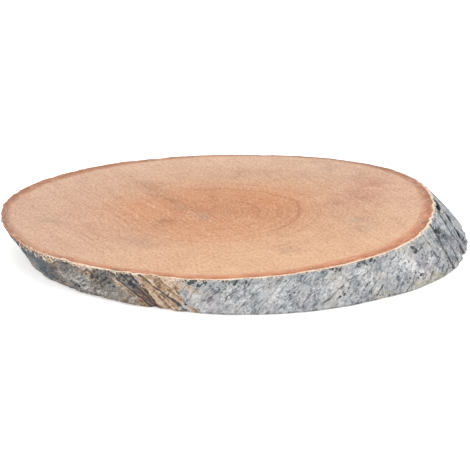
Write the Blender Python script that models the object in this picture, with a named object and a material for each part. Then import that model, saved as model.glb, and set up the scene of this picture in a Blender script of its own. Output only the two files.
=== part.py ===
"""A slice of birch trunk with its bark on, sawn slantwise through a leaning trunk.

The trunk is round, so a slanted cut through it is a long egg shape, and the bark side
leans the same way under the whole rim. The slice lies flat, with +Z up and the long way
of the cut along X. Its origin is on the underside, in the middle of its outer box.
Units are metres, and angles in the constants are degrees.
"""

import math
import random

import bmesh
import bpy
from mathutils import Vector, noise

MM = 0.001

# Driving sizes
CUT_LENGTH = 270 * MM
TRUNK_RADIUS = 96.6 * MM
THICKNESS = 23 * MM
LEAN_X = 22.5 * MM
LEAN_Y = -3.1 * MM
LONG_STRETCH = CUT_LENGTH / (2 * TRUNK_RADIUS)

# Waves of the trunk's outline: (waves round the trunk, share of the radius, angle of a crest)
OUTLINE_WAVES = (
    (2, 0.0030, 31),
    (3, 0.0224, 29),
    (4, 0.0110, 43),
    (5, 0.0033, 35),
    (6, 0.0040, 35),
    (7, 0.0020, 10),
)

# Swellings and flats of the trunk: (angle, half width in degrees, at the upper cut, at the lower cut)
SWELLINGS = (
    (-173, 38, 0.0, 5.0 * MM),
    (-128, 34, -3.2 * MM, 0.0),
    (26, 20, 0.8 * MM, 0.0),
    (4, 14, 0.0, -1.0 * MM),
)

# Bark as seen on the cut
BARK_THICKNESS = 5.0 * MM
BARK_SWELL = 1.5 * MM
BARK_THICK_SIDE = -78
BARK_END_SWELL = 0.5 * MM
BARK_WOBBLE = 0.35 * MM
# Places where the bark is thicker: (angle, half width in degrees, extra thickness)
BARK_THICK_SPOTS = (
    (128, 54, 4.5 * MM),
    (34, 16, 1.0 * MM),
)
CAMBIUM_STEP = 0.3 * MM
CAMBIUM_WIDTH = 0.5 * MM
EDGE_CHAMFER = 0.6 * MM
EDGE_CHIP = 0.7 * MM
FRAYED_EDGE = (-153, 9, 1.1 * MM)

# Relief of the bark's outer side
HUMP_HEIGHT = 0.75 * MM
HUMP_SCALE = 3.4
GRAIN_HEIGHT = 0.6 * MM
GRAIN_ROUND = 15.0
GRAIN_ALONG = 3.2

# Furrows along the trunk: (angle, half width in degrees, depth, drift in degrees down the side)
FURROWS = (
    (-116.5, 2.0, 1.2 * MM, -3.0),
    (-120.2, 2.2, 1.5 * MM, -1.5),
    (-112.0, 1.8, 0.8 * MM, -0.5),
    (-139.0, 2.2, 0.9 * MM, 2.0),
    (-16.0, 2.4, 0.9 * MM, -3.0),
    (38.0, 2.4, 0.7 * MM, 2.0),
    (71.0, 2.0, 0.5 * MM, -2.0),
    (104.0, 2.6, 0.7 * MM, 1.5),
    (110.0, 2.2, 0.6 * MM, 1.0),
    (152.0, 2.2, 0.6 * MM, -2.0),
    (186.0, 2.4, 0.6 * MM, 1.5),
)

# Long dark slits round the trunk: (angle, place along the trunk, half length, half width, slope, depth)
SLITS = (
    (0.2, 71.8 * MM, 10.0 * MM, 2.6 * MM, -0.27, 1.9 * MM),
    (-3.4, 85.9 * MM, 9.0 * MM, 2.8 * MM, -0.85, 1.9 * MM),
    (-20.0, 71.9 * MM, 5.5 * MM, 2.3 * MM, -0.20, 0.8 * MM),
    (24.0, 66.0 * MM, 9.0 * MM, 2.3 * MM, 0.30, 1.5 * MM),
    (131.0, -52.0 * MM, 8.0 * MM, 2.3 * MM, 0.20, 1.4 * MM),
)

# Lenticels, the small raised lips round the trunk
LENTICEL_SEED = 41
LENTICEL_COUNT = 90
LENTICEL_HALF_LENGTH = (5.0 * MM, 11.0 * MM)
LENTICEL_HALF_WIDTH = (1.8 * MM, 2.3 * MM)
LENTICEL_HEIGHT = (0.35 * MM, 0.75 * MM)

# Mesh
COLUMNS = 256
SIDE_ROWS = 14
SHARP_ANGLE = math.radians(28)

WOOD, BARK = 0, 1

# Axis of the trunk, pointing down and outwards, and its length through the slice
TRUNK_AXIS = Vector((LEAN_X, LEAN_Y, -THICKNESS)).normalized()


def unit_bump(distance):
    """A smooth hump of height 1 at distance 0 that ends at distance 1."""
    if abs(distance) >= 1:
        return 0.0
    return (1 - distance * distance) ** 2


def turn_between(angle, other):
    """The signed turn in degrees from one trunk angle to another, the short way round."""
    return (math.degrees(angle) - other + 180) % 360 - 180


def trunk_radius(angle, height):
    """Radius of the trunk with its outline waves and swellings, without the bark's relief."""
    radius = TRUNK_RADIUS
    for count, share, crest in OUTLINE_WAVES:
        radius += TRUNK_RADIUS * share * math.cos(count * (angle - math.radians(crest)))
    up = height / THICKNESS
    for middle, half_width, at_top, at_foot in SWELLINGS:
        amount = at_foot + (at_top - at_foot) * up
        radius += amount * unit_bump(turn_between(angle, middle) / half_width)
    return radius


def centre_at(height):
    """Centre of the outline at a height, which moves over as the trunk leans."""
    part = 0.5 - height / THICKNESS
    return Vector((LEAN_X * part, LEAN_Y * part, height))


def point_at(angle, radius, height):
    """The point of the slice at a trunk angle, a radius across the trunk and a height."""
    across = Vector((LONG_STRETCH * radius * math.cos(angle), radius * math.sin(angle), 0))
    return centre_at(height) + across


def lenticels():
    """Places and sizes of the lenticels, drawn evenly over the whole side of the slice."""
    draw = random.Random(LENTICEL_SEED)
    found = []
    for _ in range(LENTICEL_COUNT):
        angle = math.radians(draw.uniform(-180, 180))
        height = draw.uniform(0, THICKNESS)
        place = point_at(angle, TRUNK_RADIUS, height).dot(TRUNK_AXIS)
        found.append(
            (
                math.degrees(angle),
                place,
                draw.uniform(*LENTICEL_HALF_LENGTH),
                draw.uniform(*LENTICEL_HALF_WIDTH),
                draw.uniform(-0.15, 0.15),
                -draw.uniform(*LENTICEL_HEIGHT),
            )
        )
    return found


MARKS_ROUND_TRUNK = SLITS + tuple(lenticels())


def relief(angle, along, height):
    """How far the bark stands out from the outline at one place, in metres."""
    around = Vector((math.cos(angle), math.sin(angle), 0))
    hump_spot = around * HUMP_SCALE + Vector((0, 0, along / TRUNK_RADIUS * HUMP_SCALE))
    grain_spot = around * GRAIN_ROUND + Vector((0, 0, along / TRUNK_RADIUS * GRAIN_ALONG))
    out = HUMP_HEIGHT * noise.noise(hump_spot) + GRAIN_HEIGHT * noise.noise(grain_spot)
    down = 0.5 - height / THICKNESS
    for middle, half_width, depth, drift in FURROWS:
        out -= depth * unit_bump(turn_between(angle, middle + drift * down) / half_width)
    for middle, place, half_length, half_width, slope, depth in MARKS_ROUND_TRUNK:
        sideways = math.radians(turn_between(angle, middle)) * TRUNK_RADIUS
        off = along - place - slope * sideways
        if abs(off) < half_width:
            out -= depth * unit_bump(off / half_width) * unit_bump(sideways / half_length)
    return out


def outer_point(angle, height, inset=0.0):
    """A point of the bark's outer side, moved inwards by the inset."""
    radius = trunk_radius(angle, height)
    along = point_at(angle, radius, height).dot(TRUNK_AXIS)
    return point_at(angle, radius + relief(angle, along, height) - inset, height)


def bark_thickness(angle):
    """Thickness of the bark across the trunk: thickest at the front and at the back on the left."""
    swell = BARK_SWELL * math.cos(angle - math.radians(BARK_THICK_SIDE))
    wobble = BARK_WOBBLE * noise.noise(Vector((math.cos(angle), math.sin(angle), 0)) * 6)
    thickness = BARK_THICKNESS + swell + BARK_END_SWELL * math.cos(angle) + wobble
    for middle, half_width, extra in BARK_THICK_SPOTS:
        thickness += extra * unit_bump(turn_between(angle, middle) / half_width)
    return thickness


def edge_chamfer(angle, side):
    """Width of the broken edge of the bark at one cut: chipped, and frayed at one place."""
    spot = Vector((math.cos(angle), math.sin(angle), side)) * 14
    middle, half_width, depth = FRAYED_EDGE
    frayed = depth * unit_bump(turn_between(angle, middle) / half_width)
    return EDGE_CHAMFER + EDGE_CHIP * max(0.0, noise.noise(spot)) + frayed


def rings():
    """The rings of the slice's skin from the top cut's wood over the side to the underside.

    Each is (a function from a trunk angle to a point, the material of the faces before it).
    """

    def inside_bark(height, outwards=0.0):
        def place(angle):
            radius = trunk_radius(angle, height) - bark_thickness(angle) + outwards
            return point_at(angle, radius, height)

        return place

    def cut_edge(height, side):
        return lambda angle: outer_point(angle, height, edge_chamfer(angle, side))

    def side_row(share):
        def place(angle):
            low = edge_chamfer(angle, -1)
            high = THICKNESS - edge_chamfer(angle, 1)
            return outer_point(angle, high + (low - high) * share)

        return place

    bark_top = THICKNESS - CAMBIUM_STEP
    top = [
        (inside_bark(THICKNESS), WOOD),
        (inside_bark(bark_top, CAMBIUM_WIDTH), BARK),
        (cut_edge(bark_top, 1), BARK),
    ]
    side = [(side_row(row / SIDE_ROWS), BARK) for row in range(SIDE_ROWS + 1)]
    under = [
        (cut_edge(CAMBIUM_STEP, -1), BARK),
        (inside_bark(CAMBIUM_STEP, CAMBIUM_WIDTH), BARK),
        (inside_bark(0.0), BARK),
    ]
    return top + side + under


def slice_mesh():
    """The closed skin of the slice, swept ring by ring from the top cut to the underside."""
    bm = bmesh.new()
    column = bm.verts.layers.int.new("column")
    first = bmesh.ops.create_circle(bm, segments=COLUMNS, radius=1)["verts"]
    for number, vert in enumerate(first):
        vert[column] = number
    top_edges = ring_edges = list(bm.edges)
    for number, (place, material) in enumerate(rings()):
        if number:
            swept = bmesh.ops.extrude_edge_only(bm, edges=ring_edges)["geom"]
            ring_edges = [item for item in swept if isinstance(item, bmesh.types.BMEdge)]
            for face in (item for item in swept if isinstance(item, bmesh.types.BMFace)):
                face.material_index = material
        for vert in {vert for edge in ring_edges for vert in edge.verts}:
            vert.co = place(2 * math.pi * vert[column] / COLUMNS)
    bmesh.ops.edgeloop_fill(bm, edges=top_edges + ring_edges, mat_nr=WOOD, use_smooth=False)
    bmesh.ops.recalc_face_normals(bm, faces=bm.faces)
    middle_over_origin(bm)
    mesh = bpy.data.meshes.new("birch_slice")
    bm.to_mesh(mesh)
    bm.free()
    return mesh


def middle_over_origin(bm):
    """Move the slice so that the middle of its outer box is over the origin."""
    for axis in (0, 1):
        places = [vert.co[axis] for vert in bm.verts]
        middle = (min(places) + max(places)) / 2
        for vert in bm.verts:
            vert.co[axis] -= middle


def finish(name, colour, roughness):
    """A plain material for one surface of the slice."""
    material = bpy.data.materials.new(name)
    material.use_nodes = True
    shader = material.node_tree.nodes["Principled BSDF"]
    shader.inputs["Base Color"].default_value = (*colour, 1)
    shader.inputs["Roughness"].default_value = roughness
    shader.inputs["Metallic"].default_value = 0.0
    material.diffuse_color = (*colour, 1)
    return material


def clear_scene():
    """Remove whatever the scene holds."""
    for thing in list(bpy.data.objects):
        bpy.data.objects.remove(thing, do_unlink=True)


def main():
    """Build the slice and put it in its collection."""
    clear_scene()
    parts = bpy.data.collections.new("birch_wood_slice")
    bpy.context.scene.collection.children.link(parts)
    mesh = slice_mesh()
    mesh.materials.append(finish("cut_birch_wood", (0.72, 0.46, 0.30), 0.62))
    mesh.materials.append(finish("birch_bark", (0.42, 0.41, 0.40), 0.78))
    birch_slice = bpy.data.objects.new("birch_slice", mesh)
    parts.objects.link(birch_slice)
    mesh.shade_smooth()
    mesh.set_sharp_from_angle(angle=SHARP_ANGLE)


main()
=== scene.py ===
"""A slice of birch trunk with its bark on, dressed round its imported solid.

The trunk is round and leans, so a level saw cut through it is a long egg shape, and the bark
side leans the same way under the whole rim. Two pieces stand for the one solid: the sawn wood,
and the ring of bark round it. A third holds the splinters that the saw left on the bark's edge.

A place on the trunk is given by its angle round the trunk, from the slice's long end on +X, and
by its distance along the leaning trunk. Lengths are in metres and angles in degrees, unless a
name or a docstring says otherwise.
"""

import logging
import math
import random
from dataclasses import dataclass, field
from enum import Enum
from typing import Optional, Sequence, Union

import bmesh
import bpy
import numpy as np
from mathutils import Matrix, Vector, noise


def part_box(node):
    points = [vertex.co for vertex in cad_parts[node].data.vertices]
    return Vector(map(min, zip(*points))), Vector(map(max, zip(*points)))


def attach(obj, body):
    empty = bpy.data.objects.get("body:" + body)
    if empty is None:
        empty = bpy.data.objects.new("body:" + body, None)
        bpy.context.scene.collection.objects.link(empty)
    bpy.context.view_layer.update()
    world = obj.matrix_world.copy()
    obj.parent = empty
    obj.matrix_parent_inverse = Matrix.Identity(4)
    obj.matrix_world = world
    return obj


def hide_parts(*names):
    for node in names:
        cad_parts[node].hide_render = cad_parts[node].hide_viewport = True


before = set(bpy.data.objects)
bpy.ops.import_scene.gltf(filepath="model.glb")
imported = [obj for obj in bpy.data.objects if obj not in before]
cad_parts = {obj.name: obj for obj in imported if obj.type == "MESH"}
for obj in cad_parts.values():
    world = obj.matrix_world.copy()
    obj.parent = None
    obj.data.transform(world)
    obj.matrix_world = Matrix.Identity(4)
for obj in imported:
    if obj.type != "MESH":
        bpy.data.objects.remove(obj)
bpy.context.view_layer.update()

MM = 0.001
NODE = "birch_slice"
BODY = "root"
SHARP_ANGLE = math.radians(60)
MIDDLE = 0.5
FIT_COLUMNS = 720
WHITE = (1.0, 1.0, 1.0, 1.0)

Number = Union[float, "Value"]
Inputs = dict[Union[int, str], object]
Paint = tuple[float, float, float, float]
Run = tuple[tuple[float, Paint], ...]
Span = tuple[float, float]
Triple = tuple[float, float, float]
Socket = bpy.types.NodeSocket

log = logging.getLogger("birch_slice")


def paint(red: int, green: int, blue: int) -> Paint:
    """Turn a colour as seen on a screen into the linear colour that a shader takes.

    Args:
        red: Red, from 0 to 255.
        green: Green, from 0 to 255.
        blue: Blue, from 0 to 255.

    Returns:
        The linear colour, with an alpha of 1.
    """
    linear = [
        part / 12.92 if part <= 0.04045 else ((part + 0.055) / 1.055) ** 2.4
        for part in (red / 255, green / 255, blue / 255)
    ]
    return (linear[0], linear[1], linear[2], 1.0)


def unit_bump(distance: np.ndarray) -> np.ndarray:
    """Give a smooth hump of height 1 at distance 0 that ends at distance 1."""
    return np.where(np.abs(distance) < 1, (1 - distance**2) ** 2, 0.0)


def soft_step(value: np.ndarray) -> np.ndarray:
    """Give a smooth step from 0 at value 0 to 1 at value 1."""
    held = np.clip(value, 0, 1)
    return held * held * (3 - 2 * held)


def turn_between(angle: np.ndarray, other: Union[float, np.ndarray]) -> np.ndarray:
    """Measure the short way round from one angle to another.

    Args:
        angle: Trunk angles in radians.
        other: The angle to measure from, in degrees.

    Returns:
        The signed turn in degrees.
    """
    return (np.degrees(angle) - other + 180) % 360 - 180


def noise_over(
    x: np.ndarray, y: np.ndarray, z: Union[float, np.ndarray], scale: Triple = (1.0, 1.0, 1.0)
) -> np.ndarray:
    """Read smooth noise at many places.

    Args:
        x: First coordinates.
        y: Second coordinates, of the same shape.
        z: Third coordinates, of the same shape, or one for all.
        scale: How often the noise changes along each of the three.

    Returns:
        Noise from about -1 to 1, of the same shape.
    """
    places = np.stack(np.broadcast_arrays(x, y, z), -1) * scale
    values = [noise.noise(place) for place in places.reshape(-1, 3).tolist()]
    return np.array(values).reshape(places.shape[:-1])


class Value:
    """A number that varies over a surface. Python's operators on it add Math nodes."""

    def __init__(self, board: "Board", socket: Socket) -> None:
        """Hold a socket and the board that its node is on."""
        self.board = board
        self.socket = socket

    def __add__(self, other: Number) -> "Value":
        """Add."""
        return self.board.maths("ADD", self, other)

    def __radd__(self, other: Number) -> "Value":
        """Add, with the number first."""
        return self.board.maths("ADD", other, self)

    def __sub__(self, other: Number) -> "Value":
        """Subtract."""
        return self.board.maths("SUBTRACT", self, other)

    def __rsub__(self, other: Number) -> "Value":
        """Subtract from a number."""
        return self.board.maths("SUBTRACT", other, self)

    def __mul__(self, other: Number) -> "Value":
        """Multiply."""
        return self.board.maths("MULTIPLY", self, other)

    def __rmul__(self, other: Number) -> "Value":
        """Multiply, with the number first."""
        return self.board.maths("MULTIPLY", other, self)

    def __truediv__(self, other: Number) -> "Value":
        """Divide."""
        return self.board.maths("DIVIDE", self, other)

    def __rtruediv__(self, other: Number) -> "Value":
        """Divide a number by this."""
        return self.board.maths("DIVIDE", other, self)

    def __pow__(self, other: Number) -> "Value":
        """Raise to a power."""
        return self.board.maths("POWER", self, other)

    def __rpow__(self, other: Number) -> "Value":
        """Raise a number to this."""
        return self.board.maths("POWER", other, self)

    def held(self) -> "Value":
        """Hold the value between 0 and 1."""
        return self.board.maths("ADD", self, 0.0, clamp=True)

    def most(self, other: Number) -> "Value":
        """Take the larger of two."""
        return self.board.maths("MAXIMUM", self, other)

    def step(self, low: float, high: float) -> "Value":
        """Rise smoothly from 0 to 1 as the value goes from low to high, which may be the smaller.

        Args:
            low: Where the step is 0.
            high: Where it is 1.

        Returns:
            The step.
        """
        settings = {"interpolation_type": "SMOOTHSTEP"}
        turned = low > high
        sockets = {0: self, 1: min(low, high), 2: max(low, high), 3: float(turned), 4: float(not turned)}
        return Value(self.board, self.board.node("ShaderNodeMapRange", settings, sockets).outputs[0])


def weighed(*layers: tuple[Value, float]) -> Value:
    """Add up layers of noise, each measured from its middle and with its own weight."""
    return sum(((layer - MIDDLE) * weight for layer, weight in layers), 0.0)


@dataclass(frozen=True)
class Grain:
    """One layer of noise or of cells.

    Attributes:
        scale: How often it changes along each axis of its place, per millimetre.
        detail: How many finer layers it has.
        roughness: How strong the finer layers are.
        warp: How far it is bent by itself.
        fray: How often its place is shifted by other noise, and how far, or nothing.
        place: The attribute that holds its place.
    """

    scale: Triple
    detail: float = 2.0
    roughness: float = 0.5
    warp: float = 0.0
    fray: tuple[float, ...] = ()
    place: str = "upright"


class Board:
    """The node board of one material."""

    def __init__(self, name: str) -> None:
        """Make a material with a Principled shader and nothing else on its board.

        Args:
            name: The material's name.
        """
        self.material = bpy.data.materials.new(name)
        self.material.use_nodes = True
        self.tree = self.material.node_tree
        self.shader = self.tree.nodes["Principled BSDF"]

    def node(self, kind: str, settings: dict[str, object], sockets: Inputs) -> bpy.types.Node:
        """Add a node.

        Args:
            kind: The node's type.
            settings: Its properties, set first. The key "stops" holds a ramp's (place, colour) pairs.
            sockets: Values, sockets or Value objects for its inputs, by name or number.

        Returns:
            The node.
        """
        made = self.tree.nodes.new(kind)
        for name, setting in settings.items():
            if name == "stops":
                self._set_stops(made.color_ramp, setting)
            else:
                setattr(made, name, setting)
        for key, given in sockets.items():
            self.feed(made.inputs[key], given)
        return made

    def feed(self, socket: Socket, given: object) -> None:
        """Link a socket to what is given, or set its value.

        Args:
            socket: The socket.
            given: A Value, another socket or a plain value.
        """
        source = given.socket if isinstance(given, Value) else given
        if isinstance(source, Socket):
            self.tree.links.new(source, socket)
        else:
            socket.default_value = source

    @staticmethod
    def _set_stops(ramp: bpy.types.ColorRamp, stops: Run) -> None:
        """Give a ramp its stops, in order.

        Args:
            ramp: The ramp.
            stops: Its places and their colours.
        """
        ramp.elements.remove(ramp.elements[1])
        ramp.elements[0].position, ramp.elements[0].color = stops[0]
        for place, colour in stops[1:]:
            ramp.elements.new(place).color = colour

    def maths(self, operation: str, *operands: Number, clamp: bool = False) -> Value:
        """Add a Math node."""
        settings = {"operation": operation, "use_clamp": clamp}
        return Value(self, self.node("ShaderNodeMath", settings, dict(enumerate(operands))).outputs[0])

    def vectors(self, operation: str, first: object, second: object) -> Socket:
        """Add a Vector Math node."""
        settings = {"operation": operation}
        return self.node("ShaderNodeVectorMath", settings, {0: first, 1: second}).outputs[0]

    def attribute(self, name: str) -> Value:
        """Read a number that the mesh holds at its points."""
        return Value(self, self.node("ShaderNodeAttribute", {"attribute_name": name}, {}).outputs["Fac"])

    def vector(self, name: str) -> Socket:
        """Read a place that the mesh holds at its points."""
        return self.node("ShaderNodeAttribute", {"attribute_name": name}, {}).outputs["Vector"]

    def spot(self, grain: Grain, over: Optional[Socket] = None) -> Socket:
        """Stretch a place for a layer of noise, and shift it so that the layer's edges are ragged.

        Args:
            grain: The layer.
            over: The place, if not the one that the layer names.

        Returns:
            The place to draw the layer over.
        """
        place = self.vectors("MULTIPLY", self.vector(grain.place) if over is None else over, grain.scale)
        if not grain.fray:
            return place
        often, far = grain.fray
        sockets = {"Vector": place, "Scale": often, "Detail": 3.0, "Roughness": 0.6}
        cloud = self.node("ShaderNodeTexNoise", {}, sockets).outputs["Color"]
        shift = self.vectors("SUBTRACT", cloud, (MIDDLE,) * 3)
        return self.vectors("ADD", place, self.vectors("MULTIPLY", shift, (2 * far,) * 3))

    def parts(self, name: str) -> list[Value]:
        """Read the three coordinates of a place that the mesh holds at its points."""
        sockets = {0: self.vector(name)}
        return [Value(self, part) for part in self.node("ShaderNodeSeparateXYZ", {}, sockets).outputs]

    def turn(self, name: str) -> Value:
        """Read how far round the trunk a place lies, from 0 at -180 degrees to 1 at 180."""
        x, y, _ = self.parts(name)
        return self.maths("ARCTAN2", y, x) / (2 * math.pi) + 0.5

    def noise(self, grain: Grain, over: Optional[Socket] = None) -> Value:
        """Add a layer of noise, from 0 to 1 and about 0.5 in the middle.

        Args:
            grain: The layer.
            over: The place it lies over, if not the one that it names.

        Returns:
            The noise.
        """
        sockets = {"Vector": self.spot(grain, over), "Scale": 1.0, "Detail": grain.detail}
        sockets |= {"Roughness": grain.roughness, "Distortion": grain.warp}
        return Value(self, self.node("ShaderNodeTexNoise", {}, sockets).outputs[0])

    def cells(self, grain: Grain, output: str) -> Value:
        """Add a layer of cells: the distance to a cell's middle, or its own shade as colour."""
        sockets = {"Vector": self.spot(grain), "Scale": 1.0}
        return Value(self, self.node("ShaderNodeTexVoronoi", {}, sockets).outputs[output])

    def ramp(self, value: Value, stops: Run) -> Socket:
        """Turn a value into a colour by a ramp's stops."""
        return self.node("ShaderNodeValToRGB", {"stops": stops}, {0: value}).outputs[0]

    def mix(self, share: Number, first: object, second: object) -> Socket:
        """Mix a share of the second colour into the first."""
        settings = {"data_type": "RGBA", "blend_type": "MIX"}
        return self.node("ShaderNodeMix", settings, {0: share, 6: first, 7: second}).outputs[2]

    def coats(self, colour: object, *coats: tuple[Number, object]) -> Socket:
        """Lay coats over a colour, one on another.

        Args:
            colour: The colour at the bottom.
            coats: How much each coat covers, and its colour.

        Returns:
            The colour on top.
        """
        for cover, tint in coats:
            colour = self.mix(cover, colour, tint)
        return colour

    def bump(self, height: Value, distance: float) -> Socket:
        """Turn a height from 0 to 1 into a normal, where 1 stands for the distance in metres."""
        sockets = {"Height": height, "Distance": distance, "Strength": 1.0}
        return self.node("ShaderNodeBump", {}, sockets).outputs[0]

    def finished(self, shine: float, **sockets: object) -> bpy.types.Material:
        """Feed the shader and hand over the material.

        Args:
            shine: The share of light that its surface mirrors, as the shader's specular level.
            sockets: What feeds its other sockets, by name with _ for a space.

        Returns:
            The material.
        """
        self.shader.inputs["Specular IOR Level"].default_value = shine
        for name, given in sockets.items():
            self.feed(self.shader.inputs[name.replace("_", " ")], given)
        return self.material


@dataclass(frozen=True)
class Swelling:
    """A broad swelling or flat of the trunk, at an angle, which grows or fades down the slice."""

    angle: float
    half_width: float
    at_top: float
    at_foot: float


@dataclass(frozen=True)
class Trunk:
    """The leaning round trunk that the slice is sawn from."""

    thickness: float
    middle: Span = (0.0, 0.0)
    radius: float = 96.6 * MM
    cut_length: float = 270 * MM
    lean_x: float = 22.5 * MM
    lean_y: float = -3.1 * MM
    waves: tuple[tuple[int, float, float], ...] = (
        (2, 0.0030, 31),
        (3, 0.0224, 29),
        (4, 0.0110, 43),
        (5, 0.0033, 35),
        (6, 0.0040, 35),
        (7, 0.0020, 10),
    )
    swellings: tuple[Swelling, ...] = (
        Swelling(-173, 38, 0.0, 5.0 * MM),
        Swelling(-128, 34, -3.2 * MM, 0.0),
        Swelling(26, 20, 0.8 * MM, 0.0),
        Swelling(4, 14, 0.0, -1.0 * MM),
    )

    @property
    def stretch(self) -> float:
        """How much longer the slanted cut is than the trunk is wide."""
        return self.cut_length / (2 * self.radius)

    @property
    def axis(self) -> np.ndarray:
        """The direction of the trunk, down and outwards."""
        lean = np.array([self.lean_x, self.lean_y, -self.thickness])
        return lean / np.linalg.norm(lean)

    def radius_at(self, angle: np.ndarray, height: Union[float, np.ndarray]) -> np.ndarray:
        """Find the trunk's radius under its waves and swellings, without the bark's relief.

        Args:
            angle: Trunk angles in radians.
            height: Heights above the underside.

        Returns:
            The radius across the trunk.
        """
        total = self.radius + 0 * (angle + height)
        for count, share, crest in self.waves:
            total = total + self.radius * share * np.cos(count * (angle - math.radians(crest)))
        up = height / self.thickness
        for bulge in self.swellings:
            amount = bulge.at_foot + (bulge.at_top - bulge.at_foot) * up
            total = total + amount * unit_bump(turn_between(angle, bulge.angle) / bulge.half_width)
        return total

    def centre_at(self, height: Union[float, np.ndarray]) -> tuple[np.ndarray, np.ndarray]:
        """Find the middle of the outline at a height, which moves over as the trunk leans."""
        part = 0.5 - height / self.thickness
        return self.lean_x * part - self.middle[0], self.lean_y * part - self.middle[1]

    def point(self, angle: np.ndarray, radius: np.ndarray, height: Union[float, np.ndarray]) -> np.ndarray:
        """Place points of the slice.

        Args:
            angle: Trunk angles in radians.
            radius: Distances from the trunk's middle, measured square across it.
            height: Heights above the underside.

        Returns:
            The points, with x, y and z as the last axis.
        """
        across, aside = self.centre_at(height)
        x = across + self.stretch * radius * np.cos(angle)
        y = aside + radius * np.sin(angle)
        return np.stack(np.broadcast_arrays(x, y, height), -1)

    def along(self, points: np.ndarray) -> np.ndarray:
        """Measure how far along the trunk points lie."""
        shifted = points + np.array([self.middle[0], self.middle[1], 0.0])
        return shifted @ self.axis

    def upright(self, points: np.ndarray, angle: np.ndarray, radius: np.ndarray) -> np.ndarray:
        """Give places in millimetres as if the trunk stood upright: square across it, and along it."""
        aside = [radius * np.cos(angle), radius * np.sin(angle), self.along(points)]
        return np.stack(np.broadcast_arrays(*aside), -1) / MM


@dataclass(frozen=True)
class Furrow:
    """A furrow that runs along the trunk, at an angle, and drifts round it down the side.

    Attributes:
        dark: How dark it is, from 0 to 1.
        at_top: What share of its depth it has at the upper cut.
    """

    angle: float
    half_width: float
    depth: float
    drift: float
    dark: float = 1.0
    at_top: float = 1.0


@dataclass(frozen=True)
class Slit:
    """A lens-shaped mark round the trunk: a dark slit, or a raised lip if its depth is negative."""

    angle: float
    along: float
    half_length: float
    half_width: float
    slope: float
    depth: float
    dark: float = 1.0


@dataclass(frozen=True)
class Weathering:
    """A stretch of the bark, between two angles, that has weathered in its own way."""

    start: float
    end: float
    drift: float = 0.0


@dataclass(frozen=True)
class LipKind:
    """A kind of lip round the trunk: how many there are, and the ranges of their sizes."""

    count: int
    half_length: Span
    half_width: Span
    height: Span


@dataclass
class BarkSurface:
    """What the bark's outer side is like at each of its points.

    Attributes:
        out: How far it stands out, in metres.
        dark: How dark its slits are, from 0 to 1.
        crease: How deep in a furrow it is, from 0 to 1.
        peeled: Where the pale skin has come off the brown bark under it, from 0 to 1.
        dull: Where it is weathered grey-brown, from 0 to 1.
        rough: Its fine roughness, from about -1 in pits to 1 on crests.
    """

    out: np.ndarray
    dark: np.ndarray
    crease: np.ndarray
    peeled: np.ndarray
    dull: np.ndarray
    rough: np.ndarray


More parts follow.
